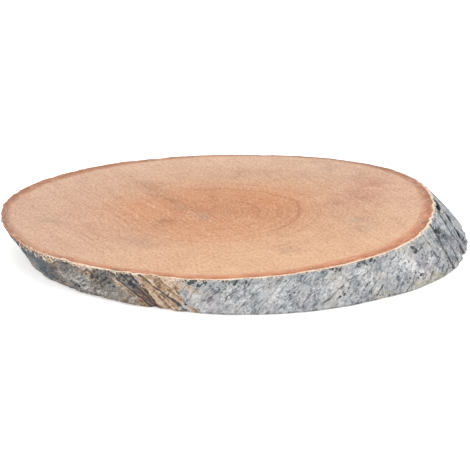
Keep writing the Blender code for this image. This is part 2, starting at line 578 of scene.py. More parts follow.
@dataclass(frozen=True)
class BarkRelief:
    """The relief of the bark's outer side.

    Attributes:
        rough_when_dull: How much rougher it is where it is dull or peeled.
        ragged_edge: How far the edges of weathered stretches are frayed, in degrees.
        edge_blur: How wide those edges are, in degrees.
        full_crease: The depth at which a furrow reads as fully dark.
        full_dark: The depth at which a slit does.
        lip_slit: The width of the slit along a lip, as a share of the lip's own.
        lip_slit_depth: Its depth, as a share of the lip's height.
    """

    trunk: Trunk
    hump_height: float = 0.75 * MM
    hump_scale: Triple = (3.4, 3.4, 3.4)
    grain_height: float = 0.6 * MM
    grain_scale: Triple = (15.0, 15.0, 3.2)
    rough_height: float = 0.13 * MM
    rough_scale: Triple = (33.75, 33.75, 75.0)
    fine_scale: Triple = (95.0, 95.0, 95.0)
    fine_share: float = 0.6
    rough_when_dull: float = 2.4
    peel_step: float = 0.45 * MM
    ragged_edge: float = 2.2
    edge_scale: Triple = (26.0, 26.0, 14.0)
    fine_edge_scale: Triple = (70.0, 70.0, 45.0)
    edge_blur: float = 2.4
    dull_fray: float = 1.6
    furrow_fray: float = 0.35
    full_crease: float = 1.7 * MM
    full_dark: float = 0.9375 * MM
    wander: float = 0.8 * MM
    wander_scale: Triple = (40.0, 40.0, 40.0)
    furrows: tuple[Furrow, ...] = (
        Furrow(-116.5, 2.0, 1.2 * MM, -3.0, 0.15),
        Furrow(-120.2, 2.2, 1.5 * MM, -1.5, 0.38),
        Furrow(-112.0, 1.8, 0.8 * MM, -0.5, 0.3),
        Furrow(-139.0, 2.2, 0.9 * MM, 2.0, 0.3),
        Furrow(-16.0, 2.4, 0.9 * MM, -3.0, 0.4),
        Furrow(-119.0, 1.0, 0.35 * MM, -1.5, 8.0),
        Furrow(-123.0, 0.8, 0.30 * MM, 2.8, 7.0),
        Furrow(-121.0, 0.7, 0.30 * MM, 0.8, 6.0),
        Furrow(-113.9, 0.8, 0.25 * MM, 4.4, 6.0),
        Furrow(-110.5, 0.6, 0.20 * MM, 2.0, 5.0),
        Furrow(-25.0, 1.2, 0.3 * MM, -11.0, 6.0),
        Furrow(-19.5, 1.0, 0.3 * MM, -11.0, 4.5),
        Furrow(-11.0, 1.2, 0.3 * MM, -12.0, 6.0),
        Furrow(-6.0, 1.0, 0.2 * MM, -9.0, 5.0),
        Furrow(-32.0, 1.0, 0.2 * MM, -8.0, 4.0),
        Furrow(38.0, 2.4, 0.7 * MM, 2.0, 0.8, 0.3),
        Furrow(71.0, 2.0, 0.5 * MM, -2.0, 0.8, 0.3),
        Furrow(104.0, 2.6, 0.7 * MM, 1.5, 0.8, 0.3),
        Furrow(110.0, 2.2, 0.6 * MM, 1.0, 0.8, 0.3),
        Furrow(152.0, 2.2, 0.6 * MM, -2.0, 0.8, 0.2),
        Furrow(186.0, 2.4, 0.6 * MM, 1.5, 0.8, 0.3),
    )
    slits: tuple[Slit, ...] = (
        Slit(0.2, 71.8 * MM, 10.0 * MM, 2.6 * MM, -0.27, 2.1 * MM),
        Slit(-3.4, 85.9 * MM, 11.0 * MM, 2.8 * MM, -0.85, 2.1 * MM),
        Slit(-20.0, 71.9 * MM, 5.5 * MM, 2.1 * MM, -0.20, 0.8 * MM, 0.9),
        Slit(24.0, 66.0 * MM, 9.0 * MM, 2.0 * MM, 0.30, 1.6 * MM),
        Slit(131.0, -52.0 * MM, 8.0 * MM, 2.0 * MM, 0.20, 1.5 * MM),
    )
    peeled: tuple[Weathering, ...] = (
        Weathering(-120.8, -109.0, -8.5),
        Weathering(101.0, 110.0, 1.0),
    )
    dull: tuple[Weathering, ...] = (
        Weathering(-188.0, -119.0, -2.5),
        Weathering(112.0, 141.0, 1.0),
        Weathering(160.0, 180.0, 0.0),
    )
    lip_kinds: tuple[LipKind, ...] = (
        LipKind(90, (5.0 * MM, 11.0 * MM), (1.8 * MM, 2.3 * MM), (0.15 * MM, 0.35 * MM)),
        LipKind(420, (1.2 * MM, 5.0 * MM), (0.7 * MM, 1.1 * MM), (0.08 * MM, 0.20 * MM)),
    )
    lip_slope: float = 0.15
    lip_shade: float = 0.8
    lip_slit: float = 0.45
    lip_slit_depth: float = 0.35
    seed: int = 41

    def lips(self) -> list[Slit]:
        """Draw the lenticels: lips round the trunk, larger ones first.

        Returns:
            The lips, as marks with a negative depth.
        """
        draw = random.Random(self.seed)
        shade = random.Random(self.seed + 1)
        found = []
        for kind in self.lip_kinds:
            for _ in range(kind.count):
                angle = math.radians(draw.uniform(-180, 180))
                height = draw.uniform(0, self.trunk.thickness)
                place = self.trunk.point(np.array(angle), np.array(self.trunk.radius), height)
                size = (draw.uniform(*kind.half_length), draw.uniform(*kind.half_width))
                slope = draw.uniform(-self.lip_slope, self.lip_slope)
                depth = -draw.uniform(*kind.height)
                dark = shade.uniform(0.0, self.lip_shade) ** 1.5
                along = float(self.trunk.along(place))
                found.append(Slit(math.degrees(angle), along, *size, slope, depth, dark))
        return found

    def cover(
        self, stretches: Sequence[Weathering], angle: np.ndarray, down: np.ndarray, ragged: np.ndarray
    ) -> np.ndarray:
        """Find where a kind of weathering covers the bark, with ragged edges.

        Args:
            stretches: Where it lies.
            angle: Trunk angles in radians.
            down: How far down the side, from -0.5 to 0.5.
            ragged: Noise that frays the edges, in degrees.

        Returns:
            Cover from 0 to 1.
        """
        found = np.zeros_like(angle)
        for part in stretches:
            middle = (part.start + part.end) / 2 + part.drift * down
            inside = (part.end - part.start) / 2 - np.abs(turn_between(angle, middle)) + ragged
            found = np.maximum(found, soft_step(inside / self.edge_blur + 0.5))
        return found

    def over(self, angle: np.ndarray, along: np.ndarray, height: np.ndarray) -> BarkSurface:
        """Work out the bark's outer side over a grid of places.

        Args:
            angle: Trunk angles in radians.
            along: Distances along the trunk.
            height: Heights above the underside.

        Returns:
            The surface at each place.
        """
        place = (np.cos(angle), np.sin(angle), along / self.trunk.radius)
        out = self.hump_height * noise_over(*place, self.hump_scale)
        out += self.grain_height * noise_over(*place, self.grain_scale)
        down = 0.5 - height / self.trunk.thickness
        ragged = self.ragged_edge * noise_over(*place, self.edge_scale)
        ragged += 0.5 * self.ragged_edge * noise_over(*place, self.fine_edge_scale)
        peeled = self.cover(self.peeled, angle, down, ragged)
        dull = self.cover(self.dull, angle, down, ragged * self.dull_fray)
        rough = noise_over(*place, self.rough_scale) + self.fine_share * noise_over(*place, self.fine_scale)
        out += self.rough_height * rough * (1 + (self.rough_when_dull - 1) * np.maximum(dull, peeled))
        out -= self.peel_step * peeled
        dark, crease = np.zeros_like(out), np.zeros_like(out)
        for furrow in self.furrows:
            middle = furrow.angle + furrow.drift * down + ragged * self.furrow_fray
            across = turn_between(angle, middle)
            share = furrow.at_top + (1 - furrow.at_top) * soft_step(down + 0.5)
            deep = furrow.depth * share * unit_bump(across / furrow.half_width)
            out -= deep
            crease = np.maximum(crease, furrow.dark * (deep / self.full_crease))
        wandering = along + self.wander * noise_over(*place, self.wander_scale)
        for mark in (*self.slits, *self.lips()):
            self._cut_mark(mark, angle, wandering, out, dark)
        return BarkSurface(out, dark, crease, peeled, dull, rough)

    def _cut_mark(
        self, mark: Slit, angle: np.ndarray, along: np.ndarray, out: np.ndarray, dark: np.ndarray
    ) -> None:
        """Cut one slit into the surface, or raise one lip with a thin slit along it.

        Args:
            mark: The slit or lip.
            angle: Trunk angles in radians.
            along: Distances along the trunk.
            out: How far the surface stands out at each place, which is changed.
            dark: How dark it is at each place, which is changed.
        """
        sideways = np.radians(turn_between(angle, mark.angle)) * self.trunk.radius
        off = along - mark.along - mark.slope * sideways
        near = (np.abs(off) < mark.half_width) & (np.abs(sideways) < mark.half_length)
        lengthways = unit_bump(sideways[near] / mark.half_length)
        across = off[near] / mark.half_width
        shape = unit_bump(across) * lengthways
        out[near] -= mark.depth * shape
        if mark.depth > 0:
            depth = np.minimum(1.0, shape * mark.depth / self.full_dark)
        else:
            depth = unit_bump(across / self.lip_slit) * lengthways
            out[near] += self.lip_slit_depth * mark.depth * depth
        dark[near] = np.maximum(dark[near], mark.dark * depth)


@dataclass(frozen=True)
class BarkSection:
    """The bark as the saw cut it: how thick it is, and how its edges broke.

    Attributes:
        thick_spots: Where it is thicker: (angle, half width in degrees, extra thickness).
        chips: The edge's chips, coarse to fine: (depth, how often they change, the noise's level).
        calm_share: What is left of the chips on the far side from chipped_side.
        frayed: Where the edge is broken deeper: (angle, half width in degrees, depth).
    """

    trunk: Trunk
    thickness: float = 5.0 * MM
    swell: float = 1.5 * MM
    thick_side: float = -78.0
    end_swell: float = 0.5 * MM
    wobble: float = 0.35 * MM
    wobble_scale: Triple = (6.0, 6.0, 1.0)
    thick_spots: tuple[Triple, ...] = (
        (128.0, 54.0, 4.5 * MM),
        (34.0, 16.0, 1.0 * MM),
    )
    gap: float = 0.05 * MM
    step: float = 0.3 * MM
    chamfer: float = 0.6 * MM
    chips: tuple[Triple, ...] = (
        (0.70 * MM, 14.0, 14.0),
        (0.30 * MM, 75.0, 9.0),
        (0.18 * MM, 190.0, 5.0),
    )
    calm_share: float = 0.35
    chipped_side: float = -145.0
    chipped_half_width: float = 110.0
    frayed: tuple[Triple, ...] = (
        (-153.0, 9.0, 1.1 * MM),
        (-146.8, 1.3, 1.0 * MM),
        (-143.6, 0.8, 0.8 * MM),
        (-134.0, 13.0, 0.5 * MM),
    )

    def thickness_at(self, angle: np.ndarray) -> np.ndarray:
        """Find the bark's thickness across the trunk: thickest at the front and at the back on the left.

        Args:
            angle: Trunk angles in radians.

        Returns:
            The thickness at each of them.
        """
        swell = self.swell * np.cos(angle - math.radians(self.thick_side))
        wobble = self.wobble * noise_over(np.cos(angle), np.sin(angle), 0.0, self.wobble_scale)
        total = self.thickness + swell + self.end_swell * np.cos(angle) + wobble
        for middle, half_width, extra in self.thick_spots:
            total = total + extra * unit_bump(turn_between(angle, middle) / half_width)
        return total

    def inner_radius(self, angle: np.ndarray, height: Union[float, np.ndarray]) -> np.ndarray:
        """Find the radius at which the wood ends and the bark begins."""
        return self.trunk.radius_at(angle, height) - self.thickness_at(angle)

    def chamfer_at(self, angle: np.ndarray, side: int) -> np.ndarray:
        """Find the width of the broken edge at the upper cut (side 1) or the lower one (side -1).

        Args:
            angle: Trunk angles in radians.
            side: Which cut.

        Returns:
            The width at each angle.
        """
        x, y = np.cos(angle), np.sin(angle)
        near = unit_bump(turn_between(angle, self.chipped_side) / self.chipped_half_width)
        strength = self.calm_share + (1 - self.calm_share) * near
        layers = [
            depth * np.maximum(0, noise_over(x, y, level * side, (often, often, 1.0)))
            for depth, often, level in self.chips
        ]
        total = self.chamfer + sum(layers) * strength
        for middle, half_width, depth in self.frayed:
            total = total + depth * unit_bump(turn_between(angle, middle) / half_width)
        return total


def mesh_piece(
    name: str, points: np.ndarray, faces: list[tuple[int, ...]], numbers: dict[str, np.ndarray]
) -> bpy.types.Object:
    """Make a smooth-shaded mesh object that holds numbers and places at its points.

    Args:
        name: The piece's name.
        points: Its points, one a row.
        faces: Its faces, as point numbers.
        numbers: Arrays of one number, or of three, for each point.

    Returns:
        The object, linked to the scene.
    """
    mesh = bpy.data.meshes.new(name)
    mesh.from_pydata(points.reshape(-1, 3).tolist(), [], faces)
    for key, values in numbers.items():
        flat = np.asarray(values, np.float32).reshape(len(mesh.vertices), -1)
        kind, slot = ("FLOAT_VECTOR", "vector") if flat.shape[1] == 3 else ("FLOAT", "value")
        mesh.attributes.new(key, kind, "POINT").data.foreach_set(slot, flat.ravel())
    mesh.validate()
    skin = bmesh.new()
    skin.from_mesh(mesh)
    bmesh.ops.recalc_face_normals(skin, faces=skin.faces)
    skin.to_mesh(mesh)
    skin.free()
    mesh.shade_smooth()
    mesh.set_sharp_from_angle(angle=SHARP_ANGLE)
    made = bpy.data.objects.new(name, mesh)
    bpy.context.scene.collection.objects.link(made)
    return made


def ring_faces(rows: int, columns: int, closed: bool, start: int = 0) -> list[tuple[int, int, int, int]]:
    """List the faces between rows of points that each run once round the trunk.

    Args:
        rows: How many rows there are.
        columns: How many points a row has.
        closed: Whether the last row joins the first.
        start: The number of the first point.

    Returns:
        The faces, a row's worth at a time.
    """
    found = []
    for row in range(rows if closed else rows - 1):
        upper, lower = start + row * columns, start + (row + 1) % rows * columns
        for column in range(columns):
            beside = (column + 1) % columns
            found.append((upper + column, lower + column, lower + beside, upper + beside))
    return found


def dress(piece: bpy.types.Object, slot: str, *materials: bpy.types.Material) -> bpy.types.Object:
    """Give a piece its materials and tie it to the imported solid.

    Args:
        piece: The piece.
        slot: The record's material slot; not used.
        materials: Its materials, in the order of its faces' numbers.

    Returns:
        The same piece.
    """
    for material in materials:
        piece.data.materials.append(material)
    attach(piece, BODY)
    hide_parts(NODE)
    log.info("%s: %d faces", piece.name, len(piece.data.polygons))
    return piece


class Hue(Enum):
    """The tints that stain the sawn wood, and the attribute that each is held in."""

    BLUE_GREY = "blue_grey"
    BROWN = "brown"
    ROSE = "rose"
    ORANGE = "orange"


@dataclass(frozen=True)
class Stain:
    """A soft stain on the upper cut, in millimetres from the middle of that cut."""

    hue: Hue
    x: float
    y: float
    half_long: float
    half_wide: float
    turn: float
    strength: float

    def over(self, x: np.ndarray, y: np.ndarray) -> np.ndarray:
        """Find the stain's strength at places given in millimetres.

        Args:
            x: The places' first coordinates.
            y: Their second ones.

        Returns:
            The strength at each place.
        """
        turn = math.radians(self.turn)
        lengthways = (x - self.x) * math.cos(turn) + (y - self.y) * math.sin(turn)
        across = (y - self.y) * math.cos(turn) - (x - self.x) * math.sin(turn)
        return self.strength * np.exp(-((lengthways / self.half_long) ** 2) - (across / self.half_wide) ** 2)


@dataclass(frozen=True)
class SawnBirch:
    """The finish of dry sawn birch: pinkish tan, a darker heart, faint rings, fine saw marks, and painted
    light: warmer and lighter towards the front, greyer towards the back and the left.

    Attributes:
        pith: The middle of the rings, in millimetres square across the trunk.
        tones: The wood's colour by its distance from the pith, in millimetres.
        ring_lines: The rings that stand out: (distance from the pith, half width, strength, the angle
            round which each is seen best).
    """

    pith: Span = (-2.2, -3.1)
    reach: float = 100.0
    ring_gap: float = 2.1
    shine: float = 0.25
    roughness: float = 0.55
    mark_height: float = 0.12 * MM
    saw_turn: float = -63.0
    tones: Run = (
        (0.0, paint(198, 139, 102)),
        (22.0, paint(198, 139, 102)),
        (33.0, paint(202, 145, 108)),
        (41.0, paint(205, 152, 118)),
        (50.0, paint(207, 160, 128)),
        (62.0, paint(207, 164, 134)),
        (76.0, paint(209, 168, 140)),
        (90.0, paint(212, 172, 146)),
    )
    ring_lines: tuple[tuple[float, float, float, float], ...] = (
        (7.5, 0.9, 0.45, -20.0),
        (12.5, 0.8, 0.40, -60.0),
        (19.4, 1.6, 0.85, 40.0),
        (24.0, 1.0, 0.60, -70.0),
        (28.5, 0.9, 0.45, 20.0),
        (33.0, 0.9, 0.45, -80.0),
        (37.8, 2.2, 0.80, 10.0),
        (41.0, 1.0, 0.50, -100.0),
        (47.0, 1.2, 0.45, 10.0),
        (51.0, 1.0, 0.35, 170.0),
        (57.0, 1.0, 0.35, -90.0),
        (66.0, 0.9, 0.30, 60.0),
    )
    ring_line: Paint = paint(168, 108, 76)
    # Painted light: a warmer, lighter tone for the near part of the cut, and greyer ones for the far part
    # and for the left.
    front: Paint = paint(224, 178, 140)
    back: Paint = paint(214, 180, 155)
    left: Paint = paint(205, 170, 150)
    blue_grey: Paint = paint(166, 144, 130)
    brown: Paint = paint(150, 102, 72)
    rose: Paint = paint(190, 140, 118)
    orange: Paint = paint(206, 140, 98)
    pore: Paint = paint(160, 110, 78)
    fibre: Paint = paint(240, 204, 172)

    broad: Grain = Grain((0.02, 0.02, 0.01))
    wander: Grain = Grain((0.06, 0.06, 0.03))
    cloud: Grain = Grain((0.10, 0.10, 0.05), 3.0, 0.6, 0.4)
    grain: Grain = Grain((0.62, 0.40, 0.0), 3.0, 0.8, place="flat")
    patches: Grain = Grain((0.05, 0.05, 0.02), 1.0)
    coarse_marks: Grain = Grain((0.02, 0.5, 1.0), 2.0, 0.6, 0.2)
    fine_marks: Grain = Grain((0.05, 1.3, 1.0), 1.0, 0.5, 0.2)

    def material(self) -> bpy.types.Material:
        """Build the material.

        Returns:
            The material.
        """
        board = Board("sawn_birch")
        broad, wander = board.noise(self.broad), board.noise(self.wander)
        cloud, grain = board.noise(self.cloud), board.noise(self.grain)
        front, left = board.attribute("front"), board.attribute("left")
        from_pith = board.vectors("SUBTRACT", board.vector("upright"), (*self.pith, 0.0))
        level = board.vectors("MULTIPLY", from_pith, (1.0, 1.0, 0.0))
        length = board.node("ShaderNodeVectorMath", {"operation": "LENGTH"}, {0: level}).outputs["Value"]
        radius = Value(board, length) + weighed((wander, 5.0), (broad, 10.0), (grain, 3.0))
        soft_radius = radius + weighed((cloud, 22.0)) - left * 6.0 + 3.0
        stops = tuple((at / self.reach, colour) for at, colour in self.tones)
        colour = board.coats(
            board.ramp((soft_radius / self.reach).held(), stops),
            # Painted light across the cut: warmer and lighter towards the front, greyer towards the back and
            # the left.
            (front.step(0.42, 1.0) * 0.8, self.front),
            (front.step(0.32, 0.0) * 0.7, self.back),
            (left.step(0.5, 1.0) * 0.6, self.left),
            (self._rings(board, radius), self.ring_line),
        )
        patchy = 0.35 + cloud.step(0.3, 0.7)
        stains = [((board.attribute(hue.value) * patchy).held(), getattr(self, hue.value)) for hue in Hue]
        marks = self._saw_marks(board)
        marked = broad.step(0.4, 0.62) * 0.9 + left.step(0.40, 0.75) * 0.6 + 0.45
        uneven = (marks - MIDDLE) * marked + weighed((cloud, 0.6), (grain, 2.5))
        fine = [(uneven.held(), self.pore), ((uneven * -0.9).held(), self.fibre)]
        return board.finished(
            self.shine,
            Base_Color=board.coats(colour, *stains, *fine),
            Roughness=self.roughness + grain * 0.25,
            Normal=board.bump(marks * 0.6 + grain * 0.4, self.mark_height),
        )

    def _rings(self, board: Board, radius: Value) -> Value:
        """Draw the year rings: many faint ones, and a few that stand out in part of their way round.

        Args:
            board: The material's board.
            radius: The distance from the pith, in millimetres.

        Returns:
            How strong the ring's line is, from 0 to 1.
        """
        wave = board.maths("SINE", radius * (2 * math.pi / self.ring_gap))
        patchy = board.noise(self.patches)
        faint = (0.3 + patchy.step(0.42, 0.62)) * (0.15 + radius.step(46.0, 30.0) * 0.14)
        total = (wave * 0.5 + 0.5) ** 2.0 * faint
        turn = board.turn("upright") * (2 * math.pi) - math.pi
        for at, width, strength, angle in self.ring_lines:
            facing = board.maths("COSINE", turn - math.radians(angle)) * 0.5 + 0.5
            seen = (facing + weighed((patchy, 1.2))).step(0.3, 0.85)
            off = board.maths("ABSOLUTE", radius - at) / width
            total = total.most(off.step(1.0, 0.0) * seen * (strength * 0.8))
        return total

    def _saw_marks(self, board: Board) -> Value:
        """Draw the fine straight marks that the saw left, all one way, from 0 to 1.

        Args:
            board: The material's board.

        Returns:
            The marks.
        """
        turned = {"Vector": board.vector("flat"), "Angle": math.radians(-self.saw_turn)}
        spot = board.node("ShaderNodeVectorRotate", {"rotation_type": "Z_AXIS"}, turned).outputs[0]
        return board.noise(self.coarse_marks, spot) * 0.5 + board.noise(self.fine_marks, spot) * 0.5


@dataclass(frozen=True)
class CutBark:
    """The finish of sawn bark: red-brown inner bark, and a cream edge where the skin broke.

    Attributes:
        tones: The inner bark's colour round the trunk, by angle.
    """

    tones: Run = (
        (-180.0, paint(172, 140, 126)),
        (-155.0, paint(192, 148, 124)),
        (-128.0, paint(205, 150, 120)),
        (-90.0, paint(210, 146, 112)),
        (-50.0, paint(202, 138, 106)),
        (-20.0, paint(196, 136, 108)),
        (0.0, paint(182, 130, 108)),
        (35.0, paint(166, 130, 112)),
        (90.0, paint(184, 142, 120)),
        (130.0, paint(174, 126, 102)),
        (160.0, paint(172, 130, 110)),
        (180.0, paint(172, 140, 126)),
    )
    cream: Paint = paint(246, 226, 204)
    near_wood: Paint = paint(216, 170, 138)
    deep_brown: Paint = paint(158, 98, 70)
    light: Paint = paint(228, 182, 152)
    grey: Paint = paint(118, 100, 88)
    # Painted contact shadow: the dark brown-grey laid on the outer edge of the underside.
    contact_shadow_tint: Paint = paint(70, 62, 56)
    skin: Paint = paint(112, 102, 94)
    shine: float = 0.2
    roughness: float = 0.7
    fibre_height: float = 0.25 * MM

    grain: Grain = Grain((0.6, 0.6, 0.3), 3.0, 0.75)
    patch: Grain = Grain((0.12, 0.12, 0.02), 3.0, 0.6)
    layers: Grain = Grain((0.14, 1.1, 0.0), 3.0, 0.65, 0.3, place="layers")
    fibres: Grain = Grain((1.5, 1.5, 0.25), 2.0, 0.7)

    def material(self) -> bpy.types.Material:
        """Build the material.

        Returns:
            The material.
        """
        board = Board("cut_bark")
        grain, patch = board.noise(self.grain), board.noise(self.patch)
        layers, fibres = board.noise(self.layers), board.noise(self.fibres)
        stops = tuple(((angle + 180) / 360, colour) for angle, colour in self.tones)
        uneven = board.attribute("share") + weighed((grain, 1.0), (patch, 0.8))
        inner_line = uneven.step(0.05, 0.25) * uneven.step(0.60, 0.35)
        shade = weighed((layers, 2.6), (patch, 1.6), (grain, 1.6))
        ragged = weighed((fibres, 2.4), (grain, 1.4), (patch, 1.2))
        rim = (board.attribute("broken") + ragged).step(0.45, 0.65)
        colour = board.coats(
            board.ramp(board.turn("upright"), stops),
            ((shade + inner_line * 0.45).held(), self.deep_brown),
            ((shade * -0.9).held(), self.light),
            (((patch - 0.58) * 3.5 + weighed((grain, 1.0))).held(), self.grey),
            (uneven.step(0.62, 1.1) * 0.8, self.near_wood),
            # Painted contact shadow along the outer edge of the underside.
            (board.attribute("grime").held() * 0.85, self.contact_shadow_tint),
            (board.attribute("skin").step(0.2, 0.8), self.skin),
            (rim * 0.9, self.cream),
        )
        return board.finished(
            self.shine,
            Base_Color=colour,
            Roughness=self.roughness + grain * 0.2,
            Normal=board.bump(grain * 0.6 + layers * 0.4, self.fibre_height),
        )


class Tint(Enum):
    """The tints and tears of the bark's outer side, and the attribute that each is held in."""

    # Dark slate bark on the left end, partly painted shade.
    SLATE = "slate"
    OLIVE = "olive"
    SPECKED = "specked"
    WHITE = "white"
    VIOLET = "violet"
    TAN = "tan"
    SHADED = "shaded"
    FOLDED = "folded"


@dataclass(frozen=True)
class Patch:
    """A patch of tint on the bark: its place as an angle and a share of the way down, and its reach."""

    tint: Tint
    angle: float
    down: float
    half_angle: float
    half_down: float
    strength: float

    def over(self, angle: np.ndarray, down: np.ndarray) -> np.ndarray:
        """Find the patch's strength at places given by angle and by share of the way down.

        Args:
            angle: Trunk angles in radians.
            down: Shares of the way down the side.

        Returns:
            The strength at each place.
        """
        aside = turn_between(angle, self.angle) / self.half_angle
        off = (down - self.down) / self.half_down
        return self.strength * unit_bump(np.sqrt(aside**2 + off**2))


@dataclass(frozen=True)
class OuterBark:
    """The finish of the bark's outer side: silver grey skin, brown where it peeled, dull in part, and on the
    left end dark slate bark with painted shade.

    Each run of colours goes from the darkest places to the lightest.
    """

    silver: Run = (
        (0.0, paint(70, 80, 86)),
        (0.2, paint(122, 129, 133)),
        (0.42, paint(161, 163, 165)),
        (0.66, paint(186, 186, 187)),
        (1.0, paint(228, 226, 225)),
    )
    dull: Run = (
        (0.0, paint(56, 56, 58)),
        (0.25, paint(98, 92, 88)),
        (0.5, paint(134, 126, 118)),
        (0.75, paint(164, 156, 149)),
        (1.0, paint(206, 202, 198)),
    )
    # Dark blue-grey bark, darkened further as painted shade on the left end.
    slate: Run = (
        (0.0, paint(26, 36, 44)),
        (0.35, paint(66, 76, 84)),
        (0.65, paint(98, 104, 108)),
        (1.0, paint(156, 156, 154)),
    )
    under: Run = (
        (0.0, paint(98, 74, 60)),
        (0.2, paint(156, 122, 92)),
        (0.5, paint(190, 157, 124)),
        (0.75, paint(210, 182, 154)),
        (1.0, paint(228, 212, 194)),
    )
    olive: Paint = paint(188, 180, 150)
    violet: Paint = paint(112, 96, 98)
    blue: Paint = paint(142, 158, 170)
    deep_blue: Paint = paint(98, 112, 122)
    lilac: Paint = paint(190, 178, 186)
    warm: Paint = paint(190, 180, 168)
    speck: Paint = paint(58, 68, 68)
    line: Paint = paint(84, 86, 90)
    crease: Paint = paint(68, 60, 60)
    hollow: Paint = paint(78, 76, 76)
    slit: Paint = paint(24, 25, 28)
    shine: float = 0.25
    roughness: float = 0.66
    flake_height: float = 0.8 * MM

    broad: Grain = Grain((0.045, 0.045, 0.05), 3.0, 0.6)
    mottle: Grain = Grain((0.20, 0.20, 0.32), 5.0, 0.68, 0.5)
    fine: Grain = Grain((0.55, 0.55, 0.9), 4.0, 0.72)
    folds: Grain = Grain((0.42, 0.42, 0.07), 4.0, 0.7, 0.3, (1.5, 0.35))
    flakes: Grain = Grain((0.17, 0.17, 0.33), 6.0, 0.75, 0.9)
    bands: Grain = Grain((0.13, 0.13, 0.50), 5.0, 0.65, 0.5)
    grit: Grain = Grain((1.2, 1.2, 1.6), 3.0, 0.75)
    large_cells: Grain = Grain((0.10, 0.10, 0.16), fray=(1.6, 0.8))
    small_cells: Grain = Grain((0.50, 0.50, 0.75), fray=(1.6, 0.7))
    calm: Grain = Grain((0.05, 0.05, 0.07))
    wavy: Grain = Grain((0.03, 0.03, 0.08), 3.0, 0.6, 0.3)
    line_places: Grain = Grain((0.07, 0.07, 0.14))
    speck_cells: Grain = Grain((0.32, 0.32, 0.5), fray=(2.0, 0.5))
    speck_places: Grain = Grain((0.08, 0.08, 0.12))
    wide_line_gap: float = 8.7
    narrow_line_gap: float = 5.3

    def material(self) -> bpy.types.Material:
        """Build the material.

        Returns:
            The material.
        """
        board = Board("outer_bark")
        broad, mottle, fine = (board.noise(layer) for layer in (self.broad, self.mottle, self.fine))
        folds, flakes = board.noise(self.folds), board.noise(self.flakes)
        white, shaded, folded = (board.attribute(name) for name in ("white", "shaded", "folded"))
        tone = self._tone(board, mottle, fine, folds, folded, shaded) + weighed((broad, 1.1))
        pale, deep = flakes.step(0.54, 0.575), flakes.step(0.455, 0.42)
        bluish = mottle.step(0.50, 0.62)
        dull, slate = (self._ragged(board, name, mottle) for name in ("dull", "slate"))
        dull_tone = tone + pale * 0.16 - deep * 0.18 + white * 0.25
        peeled = (board.attribute("peeled") + weighed((mottle, 1.8))).step(0.15, 0.85)
        under_tone = weighed((folds, 3.2), (fine, 1.6), (mottle, 2.0)) + 0.44 - shaded * 0.2
        under = board.ramp(under_tone.held(), self.under)
        tan = (board.attribute("tan") * (0.3 + mottle.step(0.35, 0.6))).held()
        violet = board.attribute("violet")
        specks = self._specks(board, fine, mottle) * (1 - peeled * 0.75)
        crease, dark = board.attribute("crease"), board.attribute("dark")
        fibres = weighed((folds, 3.0), (fine, 2.2), (mottle, 2.0))
        hollow = dark + weighed((fine, 1.1), (mottle, 1.3)) * dark.step(0.0, 0.25)
        colour = board.coats(
            board.ramp((tone + pale * 0.12 - deep * 0.20 + white * 0.25).held(), self.silver),
            (bluish * 0.25, self.blue),
            (broad.step(0.50, 0.62) * 0.35, self.warm),
            (folded.held() * 0.28, self.blue),
            (deep * 0.3, self.deep_blue),
            (broad.step(0.48, 0.36) * 0.3, self.lilac),
            (board.attribute("olive").held() * 0.6, self.olive),
            (dull, board.ramp(dull_tone.held(), self.dull)),
            (dull * bluish * 0.35, self.deep_blue),
            # Slate bark with painted shade on the left end.
            (slate, board.ramp((tone + pale * 0.2).held(), self.slate)),
            (peeled * 0.9, under),
            (tan, under),
            ((violet + weighed((mottle, 2.0)) * violet).held() * 0.8, self.violet),
            (self._lines(board, flakes) * (1 - peeled * 0.9), self.line),
            (specks * 0.9, self.speck),
            ((crease + fibres * crease.step(0.0, 0.3)).step(0.3, 0.9) * 0.9, self.crease),
            (hollow.step(0.12, 0.45) * 0.85, self.hollow),
            (hollow.step(0.35, 0.75), self.slit),
        )
        height = mottle * 0.3 + fine * 0.3 + pale * 0.15 - deep * 0.15 - specks * 0.4
        return board.finished(
            self.shine,
            Base_Color=colour,
            Roughness=self.roughness + fine * 0.25,
            Normal=board.bump(height, self.flake_height),
        )

    def _tone(
        self, board: Board, mottle: Value, fine: Value, folds: Value, folded: Value, shaded: Value
    ) -> Value:
        """Work out how light each place is, from 0 to 1: bands and ragged flakes, finer and finer.

        Args:
            board: The material's board.
            mottle: Noise of a few millimetres.
            fine: Noise of about a millimetre.
            folds: Noise drawn out along the trunk.
            folded: Where the folds show.
            shaded: Where the bark lies in shade.

        Returns:
            The tone.
        """
        bands, grit = board.noise(self.bands), board.noise(self.grit)
        large, small = (board.cells(layer, "Color") for layer in (self.large_cells, self.small_cells))
        patchy = weighed((mottle, 0.9), (bands, 0.5), (fine, 1.4), (grit, 0.8), (large, 0.30), (small, 0.30))
        patchy = patchy + board.attribute("rough") * 0.10
        strength = board.noise(self.calm).step(0.40, 0.58) * 0.6 + 0.7
        return 0.53 + patchy * strength + weighed((folds, 1.0)) * (folded * 2.8 + 0.4) - shaded * 0.24

    @staticmethod
    def _ragged(board: Board, name: str, fray: Value) -> Value:
        """Read a cover that the mesh holds, with its edge frayed by noise."""
        return (board.attribute(name) + weighed((fray, 2.2))).step(0.35, 0.65)

